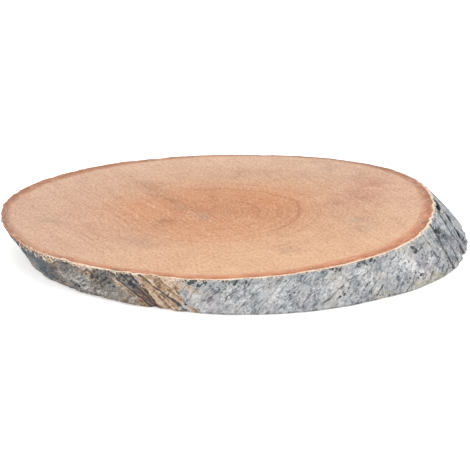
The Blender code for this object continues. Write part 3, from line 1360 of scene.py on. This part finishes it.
    def _lines(self, board: Board, flakes: Value) -> Value:
        """Draw thin dark lines, mostly round the trunk, along the edges of flakes and in between.

        Args:
            board: The material's board.
            flakes: The noise that the flakes are cut from.

        Returns:
            How dark the lines are, from 0 to 1.
        """
        wavy, seen = board.noise(self.wavy), board.noise(self.line_places)
        along = board.parts("upright")[2]
        total = board.maths("ABSOLUTE", flakes - 0.44).step(0.02, 0.0) * seen.step(0.58, 0.46) * 0.5
        wide, narrow = seen.step(0.50, 0.55), seen.step(0.49, 0.44)
        for gap, shown in ((self.wide_line_gap, wide), (self.narrow_line_gap, narrow)):
            wave = board.maths("SINE", (along / gap + wavy * 2.0) * math.pi)
            total = total.most(board.maths("ABSOLUTE", wave).step(0.16, 0.05) * shown * 0.85)
        return total * flakes.step(0.60, 0.52)

    def _specks(self, board: Board, fine: Value, mottle: Value) -> Value:
        """Scatter dark specks, thick in some places and thin in others.

        Args:
            board: The material's board.
            fine: Noise that frays them.
            mottle: Coarser noise that does too.

        Returns:
            The specks, from 0 to 1.
        """
        density = (board.noise(self.speck_places) * 2.2 - 1.05).held() + board.attribute("specked") * 0.8
        apart = board.cells(self.speck_cells, "Distance")
        return (density * 0.64 - apart + weighed((fine, 0.5), (mottle, 0.4))).step(0.0, 0.08)


@dataclass(frozen=True)
class Splintered:
    """The finish of fresh splinters: cream, with tan roots."""

    cream: Paint = paint(248, 230, 206)
    tan: Paint = paint(222, 178, 142)

    shine: float = 0.5
    roughness: float = 0.6

    streaks: Grain = Grain((1.6, 1.6, 0.5))

    def material(self) -> bpy.types.Material:
        """Build the material.

        Returns:
            The material.
        """
        board = Board("splintered_bark")
        streaks = board.noise(self.streaks)
        tan = (board.attribute("tan") + weighed((streaks, 1.5))).held()
        colour = board.mix(tan, self.cream, self.tan)
        return board.finished(self.shine, Base_Color=colour, Roughness=self.roughness + streaks * 0.2)


@dataclass(frozen=True)
class StudioGround:
    """The finish of the plain pale floor."""

    white: Paint = (0.93, 0.93, 0.93, 1.0)
    glow: float = 0.48
    roughness: float = 0.9

    def material(self) -> bpy.types.Material:
        """Build the material.

        Returns:
            The material.
        """
        board = Board("studio_floor")
        board.shader.inputs["Base Color"].default_value = self.white
        board.shader.inputs["Roughness"].default_value = self.roughness
        board.shader.inputs["Emission Color"].default_value = WHITE
        board.shader.inputs["Emission Strength"].default_value = self.glow
        return board.material


@dataclass(frozen=True)
class SawnWood:
    """The wood inside the bark, sawn flat above and below.

    Attributes:
        ring_spread: How much closer the rings of points lie towards the edge.
        wave_scales: How often the saw's waves change along x and y, on the noise's two axes.
        stain_warp: How far the stains' edges wander, in millimetres.
        front_reach: The depth in millimetres over which the finish, with its painted light, goes from the
            greyer back to the warmer, lighter front.
        left_reach: The length over which it goes from the right to the greyer left.
    """

    trunk: Trunk
    section: BarkSection
    finish: SawnBirch = field(default_factory=SawnBirch)
    columns: int = 720
    top_rings: int = 62
    under_rings: int = 20
    wall_rows: int = 3
    ring_spread: float = 0.85
    wave_depth: float = 0.06 * MM
    wave_scales: tuple[Span, Span] = ((0.05, 0.02), (-0.008, 0.015))
    stain_warp: float = 6.0
    stain_scale: Triple = (0.05, 0.05, 1.0)
    fine_stain_scale: Triple = (0.14, 0.14, 1.0)
    front_reach: float = 180.0
    left_reach: float = 260.0
    stains: tuple[Stain, ...] = (
        Stain(Hue.BLUE_GREY, -12.3, -4.1, 3.5, 8.0, 10, 0.35),
        Stain(Hue.BLUE_GREY, 9.2, -1.0, 4.0, 6.0, 0, 0.20),
        Stain(Hue.BLUE_GREY, 81.0, 56.5, 26.0, 14.0, -35, 0.40),
        Stain(Hue.BLUE_GREY, 81.0, -25.7, 9.0, 16.0, 25, 0.40),
        Stain(Hue.BLUE_GREY, -102.8, -4.1, 8.0, 6.0, 0, 0.35),
        Stain(Hue.BLUE_GREY, -54.7, -42.4, 14.0, 7.0, -35, 0.35),
        Stain(Hue.BLUE_GREY, 33.0, -58.0, 12.0, 5.0, 0, 0.20),
        Stain(Hue.BLUE_GREY, -22.0, 8.0, 2.5, 18.0, 25, 0.40),
        Stain(Hue.BROWN, -31.5, 22.5, 3.5, 16.0, 32, 0.50),
        Stain(Hue.BROWN, -1.5, 19.0, 2.2, 10.0, -16, 0.40),
        Stain(Hue.BROWN, -34.9, -13.4, 10.0, 5.0, 35, 0.50),
        Stain(Hue.BROWN, -39.0, 44.0, 9.0, 12.0, 15, 0.35),
        Stain(Hue.BROWN, 20.0, 57.0, 26.0, 7.0, 0, 0.22),
        Stain(Hue.ROSE, 99.7, 31.9, 14.0, 16.0, 0, 0.70),
        Stain(Hue.ROSE, 83.0, 11.3, 16.0, 15.0, 0, 0.80),
        Stain(Hue.ROSE, -50.0, -36.0, 14.0, 12.0, -30, 0.35),
        Stain(Hue.ROSE, -83.0, -14.0, 20.0, 14.0, 0, 0.30),
        Stain(Hue.ORANGE, -46.0, 7.0, 22.0, 16.0, 0, 0.60),
        Stain(Hue.ORANGE, 36.0, 16.0, 18.0, 14.0, 0, 0.65),
        Stain(Hue.ORANGE, -10.0, -32.0, 30.0, 11.0, -8, 0.30),
    )

    def build(self) -> bpy.types.Object:
        """Build and dress the wood.

        Returns:
            The piece.
        """
        angle = np.linspace(0, 2 * math.pi, self.columns, endpoint=False)
        rows, radii = [], []
        for side, count in ((1, self.top_rings), (-1, self.under_rings)):
            height = self.trunk.thickness if side > 0 else 0.0
            edge = self.section.inner_radius(angle, height)
            shares = np.linspace(0, 1, count + 1)[1:] ** self.ring_spread
            cut_rows = [self._cut_row(angle, edge, share, height, side) for share in shares]
            cut_radii = [edge * share for share in shares]
            rows += cut_rows if side > 0 else [*self._wall(angle), *cut_rows[::-1]]
            radii += cut_radii if side > 0 else [*[edge] * self.wall_rows, *cut_radii[::-1]]
        points = np.stack(rows)
        radius = np.stack(radii)
        faces = ring_faces(len(rows), self.columns, closed=False)
        levels = (self.trunk.thickness, 0.0)
        middles = [self.trunk.point(np.zeros(1), np.zeros(1), level) for level in levels]
        first_middle = len(rows) * self.columns
        last_row = first_middle - self.columns
        for column in range(self.columns):
            beside = (column + 1) % self.columns
            faces.append((first_middle, column, beside))
            faces.append((first_middle + 1, last_row + beside, last_row + column))
        every_point = np.concatenate([points.reshape(-1, 3), *middles])
        every_angle = np.concatenate([np.tile(angle, len(rows)), np.zeros(2)])
        every_radius = np.concatenate([radius.ravel(), np.zeros(2)])
        numbers = self._numbers(every_point, every_angle, every_radius)
        piece = mesh_piece("sawn_wood", every_point, faces, numbers)
        return dress(piece, "birch_wood", self.finish.material())

    def _cut_row(
        self, angle: np.ndarray, edge: np.ndarray, share: float, height: float, side: int
    ) -> np.ndarray:
        """Place one ring of points on a cut, a share of the way out, on its slightly wavy face.

        Args:
            angle: The columns' trunk angles in radians.
            edge: The wood's radius at each of them.
            share: How far out the ring lies, from 0 to 1.
            height: The cut's height above the underside.
            side: 1 for the upper cut, -1 for the lower one.

        Returns:
            The points.
        """
        points = self.trunk.point(angle, edge * share, height)
        x, y = points[:, 0] / MM, points[:, 1] / MM
        places = [x * often_x + y * often_y for often_x, often_y in self.wave_scales]
        waves = noise_over(*places, 3.0 * side)
        points[:, 2] -= side * self.wave_depth * (0.5 + 0.5 * waves).clip(0, 1)
        return points

    def _wall(self, angle: np.ndarray) -> list[np.ndarray]:
        """Place the rows of the wood's hidden side, from the top down.

        Args:
            angle: The columns' trunk angles in radians.

        Returns:
            The rows of points.
        """
        shares = np.linspace(1, 0, self.wall_rows + 2)[1:-1]
        heights = [self.trunk.thickness * share for share in shares]
        radii = [self.section.inner_radius(angle, height) for height in heights]
        return [self.trunk.point(angle, *place) for place in zip(radii, heights)]

    def _numbers(self, points: np.ndarray, angle: np.ndarray, radius: np.ndarray) -> dict[str, np.ndarray]:
        """Work out what the finish reads at each point.

        Args:
            points: The points.
            angle: Their trunk angles in radians.
            radius: Their distances from the trunk's middle, square across it.

        Returns:
            The numbers and places, by attribute.
        """
        across, aside = self.trunk.centre_at(self.trunk.thickness)
        x, y = (points[:, 0] - across) / MM, (points[:, 1] - aside) / MM
        found = {hue.value: np.zeros(len(points)) for hue in Hue}
        warped = []
        for place, level in ((x, 0.0), (y, 9.0)):
            broad = noise_over(x, y, level, self.stain_scale)
            fine = noise_over(x, y, level + 4.0, self.fine_stain_scale)
            warped.append(place + self.stain_warp * (broad + 0.5 * fine))
        for stain in self.stains:
            found[stain.hue.value] += stain.over(*warped)
        found["upright"] = self.trunk.upright(points, angle, radius)
        found["flat"] = np.stack([x, y, 0 * x], -1)
        # Places across the upper cut, which steer its painted light, the heart's reach and the saw marks.
        found["front"] = 0.5 - y / self.front_reach
        found["left"] = 0.5 - x / self.left_reach
        return found


@dataclass(frozen=True)
class BarkRing:
    """The ring of bark round the wood.

    Attributes:
        cut_spread: How much closer the cut's rows lie towards its outer edge.
        side_cream: How cream the side's uppermost row is, against the cut's outermost one.
        browned: Where the broken edge is brown: (angle, half width in degrees).
        angle_warp: How far the patches' edges wander round the trunk, in radians.
        down_warp: How far they wander down the side, as a share of it.
        foot_shade: How dark the painted contact shadow along the foot of the side is, from foot_start to the
            underside.
        scatter_spans: Ranges for the scattered patches' angle, place down the side and two reaches.
    """

    trunk: Trunk
    section: BarkSection
    relief: BarkRelief
    columns: int = 1320
    side_rows: int = 56
    cut_rows: int = 8
    under_rows: int = 4
    cut_spread: float = 1.3
    cut_roughness: float = 0.10 * MM
    cut_grit: Triple = (900.0, 900.0, 1.0)
    side_cream: float = 0.6
    browned: tuple[Span, ...] = ((110.0, 105.0), (-170.0, 45.0))
    browned_share: float = 0.7
    angle_warp: float = 0.035
    angle_warp_scale: Triple = (22.0, 22.0, 4.0)
    down_warp: float = 0.16
    down_warp_scale: Triple = (24.0, 24.0, 5.0)
    down_warp_shift: float = 1.4
    patches: tuple[Patch, ...] = (
        # The left end: slate streaks and painted shade.
        Patch(Tint.SLATE, -160.0, 0.20, 15.0, 1.1, 1.4),
        Patch(Tint.SPECKED, -99.0, 0.08, 7.0, 0.26, 1.3),
        Patch(Tint.SPECKED, -90.0, 0.10, 6.0, 0.16, 0.7),
        Patch(Tint.SPECKED, -54.8, 0.06, 5.0, 0.16, 1.0),
        Patch(Tint.SPECKED, -66.0, 0.05, 5.0, 0.16, 1.0),
        Patch(Tint.SPECKED, -69.5, 0.80, 4.0, 0.22, 0.4),
        Patch(Tint.SPECKED, -46.4, 0.20, 3.0, 0.15, 0.6),
        Patch(Tint.SPECKED, -38.5, 0.23, 2.6, 0.16, 1.4),
        Patch(Tint.SPECKED, -44.5, 0.60, 4.0, 0.30, 0.6),
        Patch(Tint.SPECKED, -20.0, 0.30, 5.0, 0.35, 0.9),
        Patch(Tint.SPECKED, -30.0, 0.75, 5.0, 0.30, 0.6),
        Patch(Tint.SPECKED, -66.0, 0.60, 4.0, 0.30, 0.5),
        Patch(Tint.SPECKED, -131.0, 0.50, 6.0, 0.40, 0.7),
        Patch(Tint.SPECKED, -144.0, 0.70, 5.0, 0.30, 0.6),
        Patch(Tint.SPECKED, -120.0, 0.30, 4.0, 0.60, 0.8),
        Patch(Tint.SPECKED, -112.0, 0.85, 4.0, 0.40, 0.6),
        Patch(Tint.WHITE, -43.5, 0.55, 5.0, 0.60, 1.6),
        Patch(Tint.WHITE, -87.0, 0.45, 6.0, 0.40, 0.6),
        Patch(Tint.WHITE, -105.0, 0.50, 5.0, 0.60, 1.1),
        Patch(Tint.WHITE, -97.0, 0.50, 5.0, 0.35, 0.5),
        Patch(Tint.WHITE, -90.0, 0.90, 6.0, 0.20, 0.7),
        Patch(Tint.WHITE, -10.0, 0.30, 3.0, 0.30, 0.7),
        Patch(Tint.WHITE, -58.0, 0.30, 4.0, 0.30, 0.5),
        Patch(Tint.SHADED, -66.0, 0.65, 5.0, 0.35, 0.6),
        Patch(Tint.SHADED, -18.0, 0.30, 4.0, 0.60, 1.0),
        Patch(Tint.SHADED, -24.0, 0.50, 5.0, 0.50, 0.6),
        Patch(Tint.SHADED, -10.0, 0.75, 2.5, 0.25, 1.0),
        Patch(Tint.SHADED, -6.0, 0.50, 2.0, 0.30, 0.8),
        Patch(Tint.SHADED, 2.0, 0.50, 2.5, 0.30, 0.6),
        Patch(Tint.SHADED, -131.0, 0.40, 7.0, 0.60, 0.8),
        Patch(Tint.SHADED, -75.0, 0.02, 42.0, 0.15, 0.5),
        Patch(Tint.VIOLET, -121.0, 0.60, 2.0, 0.60, 0.8),
        Patch(Tint.VIOLET, -116.0, 0.85, 2.0, 0.30, 0.3),
        Patch(Tint.VIOLET, -16.0, 0.35, 2.0, 0.50, 0.5),
        Patch(Tint.VIOLET, -150.0, 0.55, 3.0, 0.35, 0.6),
        Patch(Tint.TAN, -124.5, 0.50, 2.5, 0.45, 0.8),
        Patch(Tint.TAN, -127.5, 0.85, 4.0, 0.30, 0.3),
        Patch(Tint.WHITE, -126.5, 0.88, 3.0, 0.20, 1.2),
        Patch(Tint.TAN, -133.0, 0.20, 5.0, 0.40, 0.5),
        Patch(Tint.TAN, -146.0, 0.15, 5.0, 0.25, 0.6),
        Patch(Tint.TAN, -105.5, 0.20, 3.5, 0.50, 0.6),
        Patch(Tint.TAN, -109.5, 0.95, 4.0, 0.16, 0.8),
        Patch(Tint.WHITE, -141.0, 0.75, 4.5, 0.34, 1.5),
        Patch(Tint.WHITE, -147.0, 0.55, 4.0, 0.22, 1.2),
        Patch(Tint.OLIVE, -45.0, 0.95, 10.0, 0.25, 0.8),
        Patch(Tint.OLIVE, -38.0, 0.92, 8.0, 0.20, 0.9),
        Patch(Tint.OLIVE, -58.0, 0.95, 8.0, 0.15, 0.5),
        Patch(Tint.OLIVE, -103.0, 0.30, 4.0, 0.40, 0.5),
        Patch(Tint.FOLDED, -6.0, 0.50, 32.0, 1.50, 1.1),
        Patch(Tint.FOLDED, 150.0, 0.50, 30.0, 1.50, 0.8),
    )
    foot_shade: float = 2.6
    foot_start: float = 0.93
    foot_fade: float = 0.05
    foot_middle: float = -100.0
    foot_half_width: float = 85.0
    scattered: int = 34
    scatter_spans: tuple[Span, ...] = ((12.0, 192.0), (0.0, 1.0), (2.0, 10.0), (0.2, 0.7))
    scatter_strength: Span = (0.4, 1.0)
    scatter_seed: int = 5

    def build(self) -> bpy.types.Object:
        """Build and dress the bark.

        Returns:
            The piece.
        """
        angle = np.linspace(-math.pi, math.pi, self.columns, endpoint=False)
        side, surface = self._side(angle)
        under = self._cut(angle, -1, self.under_rows)
        top = self._cut(angle, 1, self.cut_rows)[::-1]
        cuts = [*under, *top]
        points = np.stack([*side, *(row for row, _ in cuts)])
        depth = np.stack([*np.zeros_like(side[..., 0]), *(deep for _, deep in cuts)])
        rows = len(points)
        all_angles = np.tile(angle, (rows, 1))
        broken = np.zeros((rows, self.columns))
        broken[[0, rows - 1]] = self._cream(angle) * np.array([[self.side_cream], [1.0]])
        skin, grime = np.zeros((rows, self.columns)), np.zeros((rows, self.columns))
        skin[0] = 1.0
        # Painted contact shadow on the underside's two outer rows.
        grime[len(side) : len(side) + 2] = 1.0
        numbers = {
            "upright": self.trunk.upright(points, all_angles, self.trunk.radius - depth),
            "layers": np.stack([all_angles * self.trunk.radius, depth, 0 * depth], -1) / MM,
            "share": depth / self.section.thickness_at(angle),
            "broken": broken,
            "skin": skin,
            "grime": grime,
        }
        tints = self._tints(np.tile(angle, (len(side), 1)), side)
        covers = {name: getattr(surface, name) for name in ("dark", "crease", "peeled", "dull", "rough")}
        for name, cover in {**covers, **tints}.items():
            rest = np.zeros((rows - len(side) - 1, self.columns))
            numbers[name] = np.concatenate([cover, cover[-1:], rest])
        piece = mesh_piece("bark_ring", points, ring_faces(rows, self.columns, closed=True), numbers)
        dress(piece, "birch_bark", OuterBark().material(), CutBark().material())
        slots = np.ones(len(piece.data.polygons), np.int32)
        slots[: len(side) * self.columns] = 0
        piece.data.polygons.foreach_set("material_index", slots)
        return piece

    def _cream(self, angle: np.ndarray) -> np.ndarray:
        """Find how cream the broken edge is: bright at the front, brown at the back and on the left."""
        brown = sum(unit_bump(turn_between(angle, middle) / wide) for middle, wide in self.browned)
        return 1 - self.browned_share * brown

    def _side(self, angle: np.ndarray) -> tuple[np.ndarray, BarkSurface]:
        """Place the rows of the outer side, from the upper edge to the lower one.

        Args:
            angle: The columns' trunk angles in radians.

        Returns:
            The rows of points, and the surface at each of them.
        """
        low = self.section.chamfer_at(angle, -1)
        high = self.trunk.thickness - self.section.chamfer_at(angle, 1)
        shares = np.linspace(0, 1, self.side_rows + 1)[:, None]
        height = high + (low - high) * shares
        all_angles = np.tile(angle, (self.side_rows + 1, 1))
        base = self.trunk.radius_at(all_angles, height)
        along = self.trunk.along(self.trunk.point(all_angles, base, height))
        surface = self.relief.over(all_angles, along, height)
        return self.trunk.point(all_angles, base + surface.out, height), surface

    def _cut(self, angle: np.ndarray, side: int, count: int) -> list[tuple[np.ndarray, np.ndarray]]:
        """Place the rows of one cut, from the outer edge inwards, each with its depth into the bark.

        Args:
            angle: The columns' trunk angles in radians.
            side: 1 for the upper cut, -1 for the lower one.
            count: How many strips of faces the cut has.

        Returns:
            The rows, each as its points and their depths.
        """
        level = self.trunk.thickness if side > 0 else 0.0
        base = self.trunk.radius_at(angle, level)
        along = self.trunk.along(self.trunk.point(angle, base, level))
        surface = self.relief.over(angle, along, level + 0 * angle)
        outer = base + surface.out - self.section.chamfer_at(angle, side)
        inner = self.section.inner_radius(angle, level) + self.section.gap
        found = []
        for share in np.linspace(0, 1, count + 1) ** self.cut_spread:
            radius = outer + (inner - outer) * share
            points = self.trunk.point(angle, radius, level)
            rough = noise_over(points[:, 0], points[:, 1], 5.0 * side, self.cut_grit)
            sunk = self.section.step * (1 - share) + self.cut_roughness * (0.5 + 0.5 * rough).clip(0, 1)
            points[:, 2] -= side * sunk
            found.append((points, base + surface.out - radius))
        return found

    def _tints(self, angle: np.ndarray, points: np.ndarray) -> dict[str, np.ndarray]:
        """Work out where the outer side is tinted, with the patches' edges warped by noise.

        Args:
            angle: The points' trunk angles in radians.
            points: The side's points.

        Returns:
            The cover of each tint, by attribute.
        """
        draw = random.Random(self.scatter_seed)
        kinds = (Tint.SPECKED, Tint.WHITE, Tint.SHADED, Tint.OLIVE, Tint.FOLDED)
        places = list(self.patches)
        for _ in range(self.scattered):
            spot = [draw.uniform(*span) for span in self.scatter_spans]
            places.append(Patch(draw.choice(kinds), *spot, draw.uniform(*self.scatter_strength)))
        down = 1 - points[..., 2] / self.trunk.thickness
        x, y = np.cos(angle), np.sin(angle)
        warped_angle = angle + self.angle_warp * noise_over(x, y, down, self.angle_warp_scale)
        shifted = down + self.down_warp_shift
        warped_down = down + self.down_warp * noise_over(x, y, shifted, self.down_warp_scale)
        found = {tint.value: np.zeros_like(angle) for tint in Tint}
        for patch in places:
            cover = patch.over(warped_angle, warped_down)
            found[patch.tint.value] = np.maximum(found[patch.tint.value], cover)
        # Painted contact shadow along the foot of the side, held in the shaded tint.
        aside = turn_between(angle, self.foot_middle) / self.foot_half_width
        foot = self.foot_shade * soft_step((down - self.foot_start) / self.foot_fade) * unit_bump(aside)
        found[Tint.SHADED.value] = np.maximum(found[Tint.SHADED.value], foot)
        return found


@dataclass(frozen=True)
class Tuft:
    """A stretch of the rim with splinters on it, between two angles, and the range of their sizes."""

    start: float
    end: float
    count: int
    length: Span
    width: Span


@dataclass(frozen=True)
class Splinter:
    """One splinter of the rim: where it is, its sizes, how it slants and how far its tip stands off."""

    angle: float
    length: float
    width: float
    slant: float
    lift: float


@dataclass(frozen=True)
class RimSplinters:
    """Splinters and torn fibres left by the saw along the bark's upper edge.

    Attributes:
        crown: How far the middle of a splinter's back stands out at its root.
        root_depth: How deep its root sits in the bark.
        sections: How far along the splinter its square sections are, before its tip.
        taper: How fast it narrows.
        root_tan: How tan its root is.
        slants: The range of the slants of the drawn splinters.
        lifts: The range of how far their tips stand off.
    """

    trunk: Trunk
    section: BarkSection
    relief: BarkRelief
    seed: int = 7
    crown: float = 0.22 * MM
    root_depth: float = 0.30 * MM
    sections: Triple = (0.0, 0.3, 0.65)
    taper: float = 0.7
    root_tan: float = 0.6
    slants: Span = (-0.6, 0.6)
    lifts: Span = (0.0, 0.3)
    tufts: tuple[Tuft, ...] = (
        Tuft(-160.0, -143.0, 14, (0.8 * MM, 2.4 * MM), (0.5 * MM, 1.1 * MM)),
        Tuft(-143.0, -98.0, 90, (0.4 * MM, 1.3 * MM), (0.4 * MM, 1.0 * MM)),
        Tuft(-98.0, 12.0, 130, (0.3 * MM, 0.9 * MM), (0.4 * MM, 0.9 * MM)),
        Tuft(12.0, 192.0, 60, (0.3 * MM, 0.8 * MM), (0.4 * MM, 0.8 * MM)),
    )
    long_ones: tuple[Splinter, ...] = (
        Splinter(-160.3, 4.6 * MM, 0.9 * MM, -0.2, 0.15),
        Splinter(-148.6, 4.4 * MM, 1.5 * MM, 0.3, 0.25),
        Splinter(-145.4, 3.8 * MM, 1.4 * MM, 0.5, 0.30),
        Splinter(-151.5, 3.4 * MM, 1.2 * MM, -0.2, 0.15),
        Splinter(-131.0, 2.4 * MM, 1.0 * MM, 0.3, 0.20),
        Splinter(-122.5, 2.2 * MM, 0.9 * MM, -0.3, 0.20),
    )

    def build(self) -> bpy.types.Object:
        """Build and dress the splinters as one piece.

        Returns:
            The piece.
        """
        drawn = [*self._drawn(), *self.long_ones]
        rows = [(one.angle, one.length, one.width, one.slant, one.lift) for one in drawn]
        middle, length, width, slant, lift = np.array(rows).T[:, :, None]
        share = np.array([*np.repeat(self.sections, 4), 1.0])
        aside = np.array([-1, 0, 1, 0] * 3 + [0])
        stand = np.array([0, 1, 0, -1] * 3 + [0])
        wide = aside * width / 2 * (1 - share) ** self.taper
        angle = np.radians(middle) + (wide + slant * length * share) / self.trunk.radius
        chamfer = self.section.chamfer_at(angle, 1)
        fall = -self.trunk.axis[2] * length * share
        at_root = share == 0
        height = self.trunk.thickness - self.section.step - np.where(at_root, 0, chamfer + fall)
        proud = self.crown * stand * (1 - share) + lift * length * share
        standing = np.where(stand < 0, -self.root_depth, proud)
        base = self.trunk.radius_at(angle, height)
        along = self.trunk.along(self.trunk.point(angle, base, height))
        out = self.relief.over(angle, along, height).out + np.where(at_root, -chamfer, 0) + standing
        points = self.trunk.point(angle, base + out, height)
        numbers = {
            "upright": self.trunk.upright(points, angle, base + out),
            "tan": np.broadcast_to(self.root_tan * (1 - share), angle.shape),
        }
        faces = [face for number in range(len(drawn)) for face in self._faces(len(share) * number)]
        piece = mesh_piece("rim_splinters", points, faces, numbers)
        return dress(piece, "birch_bark", Splintered().material())

    def _drawn(self) -> list[Splinter]:
        """Draw the splinters of the tufts.

        Returns:
            The splinters.
        """
        draw = random.Random(self.seed)
        found = []
        for tuft in self.tufts:
            for _ in range(tuft.count):
                place = draw.uniform(tuft.start, tuft.end)
                size = (draw.uniform(*tuft.length), draw.uniform(*tuft.width))
                found.append(Splinter(place, *size, draw.uniform(*self.slants), draw.uniform(*self.lifts)))
        return found

    @staticmethod
    def _faces(first: int) -> list[tuple[int, ...]]:
        """List the faces of one splinter: three square sections and a tip.

        Args:
            first: The number of its first point.

        Returns:
            The faces, as point numbers.
        """
        found: list[tuple[int, ...]] = [(first + 3, first + 2, first + 1, first)]
        for corner in range(4):
            beside = (corner + 1) % 4
            for row in (first, first + 4):
                found.append((row + corner, row + beside, row + beside + 4, row + corner + 4))
            found.append((first + 8 + corner, first + 8 + beside, first + 12))
        return found


@dataclass(frozen=True)
class Softbox:
    """A square soft light that faces the slice: where it hangs, the length of its side and its watts."""

    name: str
    place: Triple
    size: float
    power: float

    def hang(self) -> None:
        """Hang the light."""
        light = bpy.data.lights.new(self.name, "AREA")
        light.size = self.size
        light.energy = self.power
        lamp = bpy.data.objects.new(self.name, light)
        lamp.location = self.place
        lamp.rotation_euler = (-Vector(self.place)).to_track_quat("-Z", "Y").to_euler()
        bpy.context.scene.collection.objects.link(lamp)


@dataclass(frozen=True)
class Studio:
    """The plain floor, the soft light and the camera."""

    middle: Span
    aim: Triple = (-1.9 * MM, 1.6 * MM, 6.8 * MM)
    azimuth: float = -6.2
    elevation: float = 23.96
    distance: float = 1.5413
    lens: float = 191.5
    sensor: float = 36.0
    floor_size: float = 12.0
    floor_drop: float = 0.1 * MM
    sky: float = 0.85
    softboxes: tuple[Softbox, ...] = (
        Softbox("soft_key", (0.45, -0.6, 1.5), 1.3, 9.0),
        Softbox("soft_back", (-0.3, 1.2, 1.3), 1.2, 3.0),
    )

    def build(self) -> None:
        """Build the studio."""
        self._floor()
        self._sky()
        for softbox in self.softboxes:
            softbox.hang()
        self._camera()

    def _floor(self) -> None:
        """Lay the floor a hair under the slice."""
        half = self.floor_size / 2
        corners = [(-half, -half, 0), (half, -half, 0), (half, half, 0), (-half, half, 0)]
        mesh = bpy.data.meshes.new("studio_floor")
        mesh.from_pydata(corners, [], [(0, 1, 2, 3)])
        mesh.materials.append(StudioGround().material())
        floor = bpy.data.objects.new("studio_floor", mesh)
        floor.location.z = -self.floor_drop
        bpy.context.scene.collection.objects.link(floor)

    def _sky(self) -> None:
        """Surround the slice with even white light."""
        world = bpy.data.worlds.new("studio_light")
        world.use_nodes = True
        background = world.node_tree.nodes["Background"]
        background.inputs["Color"].default_value = WHITE
        background.inputs["Strength"].default_value = self.sky
        bpy.context.scene.world = world

    def _camera(self) -> None:
        """Set up the camera at the photograph's angle."""
        turn, rise = math.radians(self.azimuth), math.radians(self.elevation)
        away = Vector((math.sin(turn) * math.cos(rise), -math.cos(turn) * math.cos(rise), math.sin(rise)))
        lens = bpy.data.cameras.new("camera")
        lens.lens = self.lens
        lens.sensor_width = self.sensor
        camera = bpy.data.objects.new("camera", lens)
        aim = Vector(self.aim) - Vector((*self.middle, 0.0))
        camera.location = aim + away * self.distance
        camera.rotation_euler = (-away).to_track_quat("-Z", "Y").to_euler()
        bpy.context.scene.collection.objects.link(camera)
        bpy.context.scene.camera = camera
        bpy.context.scene.view_settings.view_transform = "Standard"


def fitted_trunk() -> Trunk:
    """Take the slice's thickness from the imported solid, and put the middle of its box where that one's is.

    Returns:
        The trunk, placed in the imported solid's frame.
    """
    low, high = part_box(NODE)
    trunk = Trunk(high.z - low.z)
    angle = np.linspace(0, 2 * math.pi, FIT_COLUMNS, endpoint=False)
    relief = BarkRelief(trunk)
    corners = []
    for height in (0.0, trunk.thickness):
        base = trunk.radius_at(angle, height)
        along = trunk.along(trunk.point(angle, base, height))
        out = relief.over(angle, along, height + 0 * angle).out
        corners.append(trunk.point(angle, base + out, height))
    box = np.concatenate(corners)
    middle = (box.min(0) + box.max(0)) / 2 - np.array((low + high) / 2)
    return Trunk(trunk.thickness, (float(middle[0]), float(middle[1])))


def main() -> None:
    """Build the slice and its studio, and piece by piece."""
    logging.basicConfig(level=logging.INFO, format="%(name)s: %(message)s")
    trunk = fitted_trunk()
    section = BarkSection(trunk)
    relief = BarkRelief(trunk)
    SawnWood(trunk, section).build()
    BarkRing(trunk, section, relief).build()
    RimSplinters(trunk, section, relief).build()
    Studio(trunk.middle).build()


if __name__ == "__main__":
    main()
